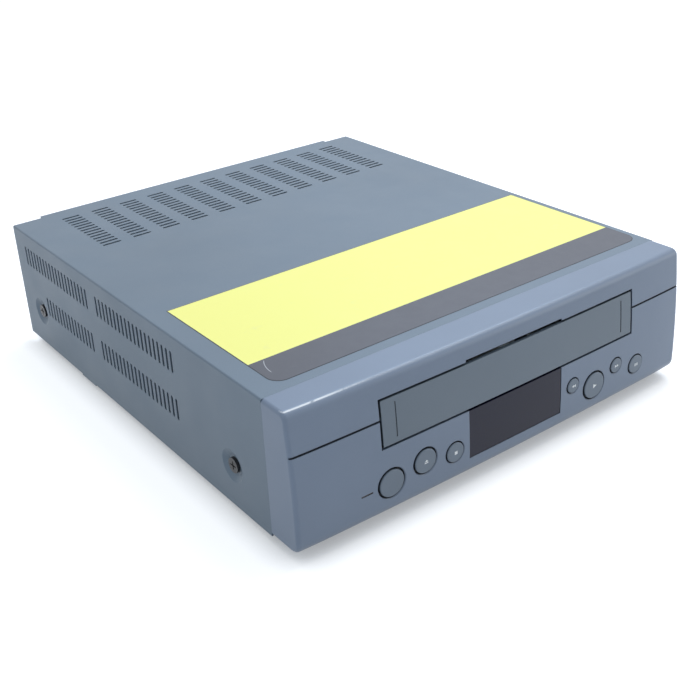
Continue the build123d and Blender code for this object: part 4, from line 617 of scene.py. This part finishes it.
symbols = {
    "eject_button": [
        triangle(0, 0.5 * MM, 1.5 * MM, 2.8 * MM, 90),
        bar(0, -1.0 * MM, 2.8 * MM, 0.6 * MM),
    ],
    "stop_button": [bar(0, 0, 2.2 * MM, 2.2 * MM)],
    "rewind_button": [
        triangle(-0.85 * MM, 0, 1.7 * MM, 2.1 * MM, 180),
        triangle(0.85 * MM, 0, 1.7 * MM, 2.1 * MM, 180),
    ],
    "play_button": [triangle(0.2 * MM, 0, 3.2 * MM, 3.0 * MM)],
    "fast_forward_button": [
        triangle(-0.85 * MM, 0, 1.7 * MM, 2.1 * MM),
        triangle(0.85 * MM, 0, 1.7 * MM, 2.1 * MM),
    ],
    "pause_button": [bar(-0.95 * MM, 0, 1.0 * MM, 2.0 * MM), bar(0.95 * MM, 0, 1.0 * MM, 2.0 * MM)],
}
SYMBOL_SHIFT = (0.3 * MM, -0.3 * MM)    # from the cap's middle: to the right and down


def printed_symbol(button, outlines):
    """White ink on the flat face of a button's cap."""
    low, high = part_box(button)
    middle_x = (low.x + high.x) / 2 + SYMBOL_SHIFT[0]
    middle_z = (low.z + high.z) / 2 + SYMBOL_SHIFT[1]

    def fill(work):
        for outline in outlines:
            raised_outline(
                work,
                outline,
                lambda u, v: Vector((middle_x + u, low.y, middle_z + v)),
                Vector((0, -PRINT_RISE, 0)),
            )

    piece(button.replace("_button", "_symbol"), fill, [print_white], button)


for button, outlines in symbols.items():
    printed_symbol(button, outlines)


# ---------------------------------------------------------------- contacts of the SCART socket
CONTACT_ROWS = (-1.5 * MM, 1.5 * MM)
CONTACTS_IN_ROW = 10
CONTACT_PITCH = 3.8 * MM
CONTACT_SIZE = (1.1 * MM, 1.3 * MM)
CONTACT_RISE = 0.5 * MM
INSERT_RECESS = 5.0 * MM


def scart_contacts(work):
    """Two rows of ten flat contacts that stand a little out of the insert's face."""
    low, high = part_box("scart_socket")
    middle_x, middle_z = (low.x + high.x) / 2, (low.z + high.z) / 2
    for row, level in enumerate(CONTACT_ROWS):
        stagger = (row - 0.5) * CONTACT_PITCH / 3
        for i in range(CONTACTS_IN_ROW):
            x = middle_x + (i - (CONTACTS_IN_ROW - 1) / 2) * CONTACT_PITCH + stagger
            raised_outline(
                work,
                bar(x, middle_z + level, *CONTACT_SIZE),
                lambda u, v: Vector((u, high.y - INSERT_RECESS, v)),
                Vector((0, CONTACT_RISE, 0)),
            )


piece("scart_contacts", scart_contacts, [finishes["chrome_pin"]], "case")


# ---------------------------------------------------------------- camera
CAMERA_AZIMUTH = radians(-35.135)
CAMERA_ELEVATION = radians(26.19)
CAMERA_ROLL = radians(-3.152)
FOCAL_PIXELS = 1071.584
FRAME_PIXELS = 700.0
MIDDLE_PIXEL = (323.826, 314.182)       # where the lens's axis meets the photograph
SENSOR = 36.0
CLOSEST_SEEN = 10 * MM
AIM_DISTANCE = 780.171 * MM
AIM_OFFSET = (8.626 * MM, 11.64 * MM)   # of the aim from the lens's axis, to the right and up
COVER_HEIGHT = 90.3 * MM
AIM_BEHIND_SEAM = 150.0 * MM
AIM_LEVEL = 45.0 * MM                   # above the cover's lower edge


def add_camera():
    """The photograph's view of the player."""
    az, el, roll = CAMERA_AZIMUTH, CAMERA_ELEVATION, CAMERA_ROLL
    back = Vector((sin(az) * cos(el), -cos(az) * cos(el), sin(el)))
    level = Vector((cos(az), sin(az), 0.0))
    upward = back.cross(level)
    right = level * cos(roll) + upward * sin(roll)
    up = upward * cos(roll) - level * sin(roll)
    cover_foot = cover_high.z - COVER_HEIGHT
    aim = Vector((0.0, AIM_BEHIND_SEAM, AIM_LEVEL)) + Vector((0.0, seam_y, cover_foot))
    place = aim - right * AIM_OFFSET[0] - up * AIM_OFFSET[1] + back * AIM_DISTANCE
    data = bpy.data.cameras.new("photo_camera")
    data.sensor_width = SENSOR
    data.lens = FOCAL_PIXELS / FRAME_PIXELS * SENSOR
    data.shift_x = (FRAME_PIXELS / 2 - MIDDLE_PIXEL[0]) / FRAME_PIXELS
    data.shift_y = (MIDDLE_PIXEL[1] - FRAME_PIXELS / 2) / FRAME_PIXELS
    data.clip_start = CLOSEST_SEEN
    camera = bpy.data.objects.new("photo_camera", data)
    turn = Matrix((right, up, back)).transposed().to_4x4()
    camera.matrix_world = Matrix.Translation(place) @ turn
    bpy.context.scene.collection.objects.link(camera)
    bpy.context.scene.camera = camera


add_camera()


# ---------------------------------------------------------------- floor, world and lamps
def shown_to_viewer(tree):
    """1 for rays from the camera, or seen in gloss or through glass, and 0 for diffuse light."""
    path = tree.nodes.new("ShaderNodeLightPath")
    total = path.outputs["Is Camera Ray"]
    for name in ("Is Glossy Ray", "Is Transmission Ray"):
        add = tree.nodes.new("ShaderNodeMath")
        add.operation = "ADD"
        add.use_clamp = True
        tree.links.new(total, add.inputs[0])
        tree.links.new(path.outputs[name], add.inputs[1])
        total = add.outputs[0]
    return total


FLOOR_REACH = 6.0
FLOOR_WHITE = (0.56, 0.56, 0.57, 1.0)
FLOOR_LIFT = 0.77                       # white added where the viewer looks at the floor
FLOOR_LIFT_COLOUR = (0.96, 0.98, 1.0, 1.0)
# the painted contact shadow: how far it reaches, and how it darkens the floor's added white
CONTACT_SHADE_REACH = 24 * MM
CONTACT_SHADE = {"From Min": 0.35, "From Max": 0.85, "To Min": 0.38, "To Max": 1.0}


def add_floor():
    """A plain white floor that keeps the player's shadow, and a painted contact shadow that darkens its
    added white close round the player.
    """
    mesh = bpy.data.meshes.new("floor")
    r = FLOOR_REACH
    mesh.from_pydata([(-r, -r, 0), (r, -r, 0), (r, r, 0), (-r, r, 0)], [], [(0, 1, 2, 3)])
    floor = bpy.data.objects.new("floor", mesh)
    bpy.context.scene.collection.objects.link(floor)
    material = bpy.data.materials.new("floor_white")
    material.use_nodes = True
    tree = material.node_tree
    shader = tree.nodes["Principled BSDF"]
    shader.inputs["Base Color"].default_value = FLOOR_WHITE
    shader.inputs["Roughness"].default_value = 0.9
    shader.inputs["Specular IOR Level"].default_value = 0.1
    shader.inputs["Emission Color"].default_value = FLOOR_LIFT_COLOUR
    lift = tree.nodes.new("ShaderNodeMath")
    lift.operation = "MULTIPLY"
    lift.inputs[1].default_value = FLOOR_LIFT
    # painted contact shadow on the floor
    closed_in = tree.nodes.new("ShaderNodeAmbientOcclusion")
    closed_in.samples = 8
    closed_in.inputs["Distance"].default_value = CONTACT_SHADE_REACH
    contact = tree.nodes.new("ShaderNodeMapRange")
    for key, value in CONTACT_SHADE.items():
        contact.inputs[key].default_value = value
    shown = tree.nodes.new("ShaderNodeMath")
    shown.operation = "MULTIPLY"
    tree.links.new(closed_in.outputs["AO"], contact.inputs["Value"])
    tree.links.new(shown_to_viewer(tree), shown.inputs[0])
    tree.links.new(contact.outputs["Result"], shown.inputs[1])
    tree.links.new(shown.outputs[0], lift.inputs[0])
    tree.links.new(lift.outputs[0], shader.inputs["Emission Strength"])
    mesh.materials.append(material)


SKY_LEVEL = 0.515
SKY_COLOUR = (0.86, 0.94, 1.0, 1.0)


def add_world():
    """An even pale sky, white where it is seen."""
    world = bpy.data.worlds.new("studio")
    bpy.context.scene.world = world
    world.use_nodes = True
    tree = world.node_tree
    background = tree.nodes["Background"]
    background.inputs["Color"].default_value = SKY_COLOUR
    background.inputs["Strength"].default_value = SKY_LEVEL
    white = tree.nodes.new("ShaderNodeBackground")
    white.inputs["Color"].default_value = (1.0, 1.0, 1.0, 1.0)
    white.inputs["Strength"].default_value = 1.0
    mix = tree.nodes.new("ShaderNodeMixShader")
    tree.links.new(shown_to_viewer(tree), mix.inputs[0])
    tree.links.new(background.outputs[0], mix.inputs[1])
    tree.links.new(white.outputs[0], mix.inputs[2])
    tree.links.new(mix.outputs[0], tree.nodes["World Output"].inputs["Surface"])


WARM_WHITE = (1.0, 0.99, 0.97)
PALE_BLUE = (0.62, 0.80, 1.0)
BLUE = (0.50, 0.70, 1.0)
# name, place, aim, width, watts, colour
LAMPS = (
    ("overhead", (0.70, 0.10, 1.45), (0, 0, 0), 1.0, 11.2, WARM_WHITE),
    ("rear_sheen", (0.85, 0.62, 1.3), (0, -0.1, 0.05), 0.9, 7.0, BLUE),
    ("left_sky", (-1.4, -0.20, 0.70), (-0.1, -0.15, 0.05), 0.9, 2.2, PALE_BLUE),
    ("front_right", (0.82, -0.80, 0.40), (0.1, -0.15, 0.05), 0.6, 2.0, WARM_WHITE),
)


def add_lamp(name, place, aim, width, watts, colour):
    """A soft square lamp at a place, turned to a point."""
    data = bpy.data.lights.new(name, "AREA")
    data.shape = "SQUARE"
    data.size = width
    data.energy = watts
    data.color = colour
    lamp = bpy.data.objects.new(name, data)
    lamp.location = place
    lamp.rotation_euler = (Vector(aim) - Vector(place)).to_track_quat("-Z", "Y").to_euler()
    bpy.context.scene.collection.objects.link(lamp)


add_floor()
add_world()
for lamp in LAMPS:
    add_lamp(*lamp)
bpy.context.scene.view_settings.view_transform = "Standard"
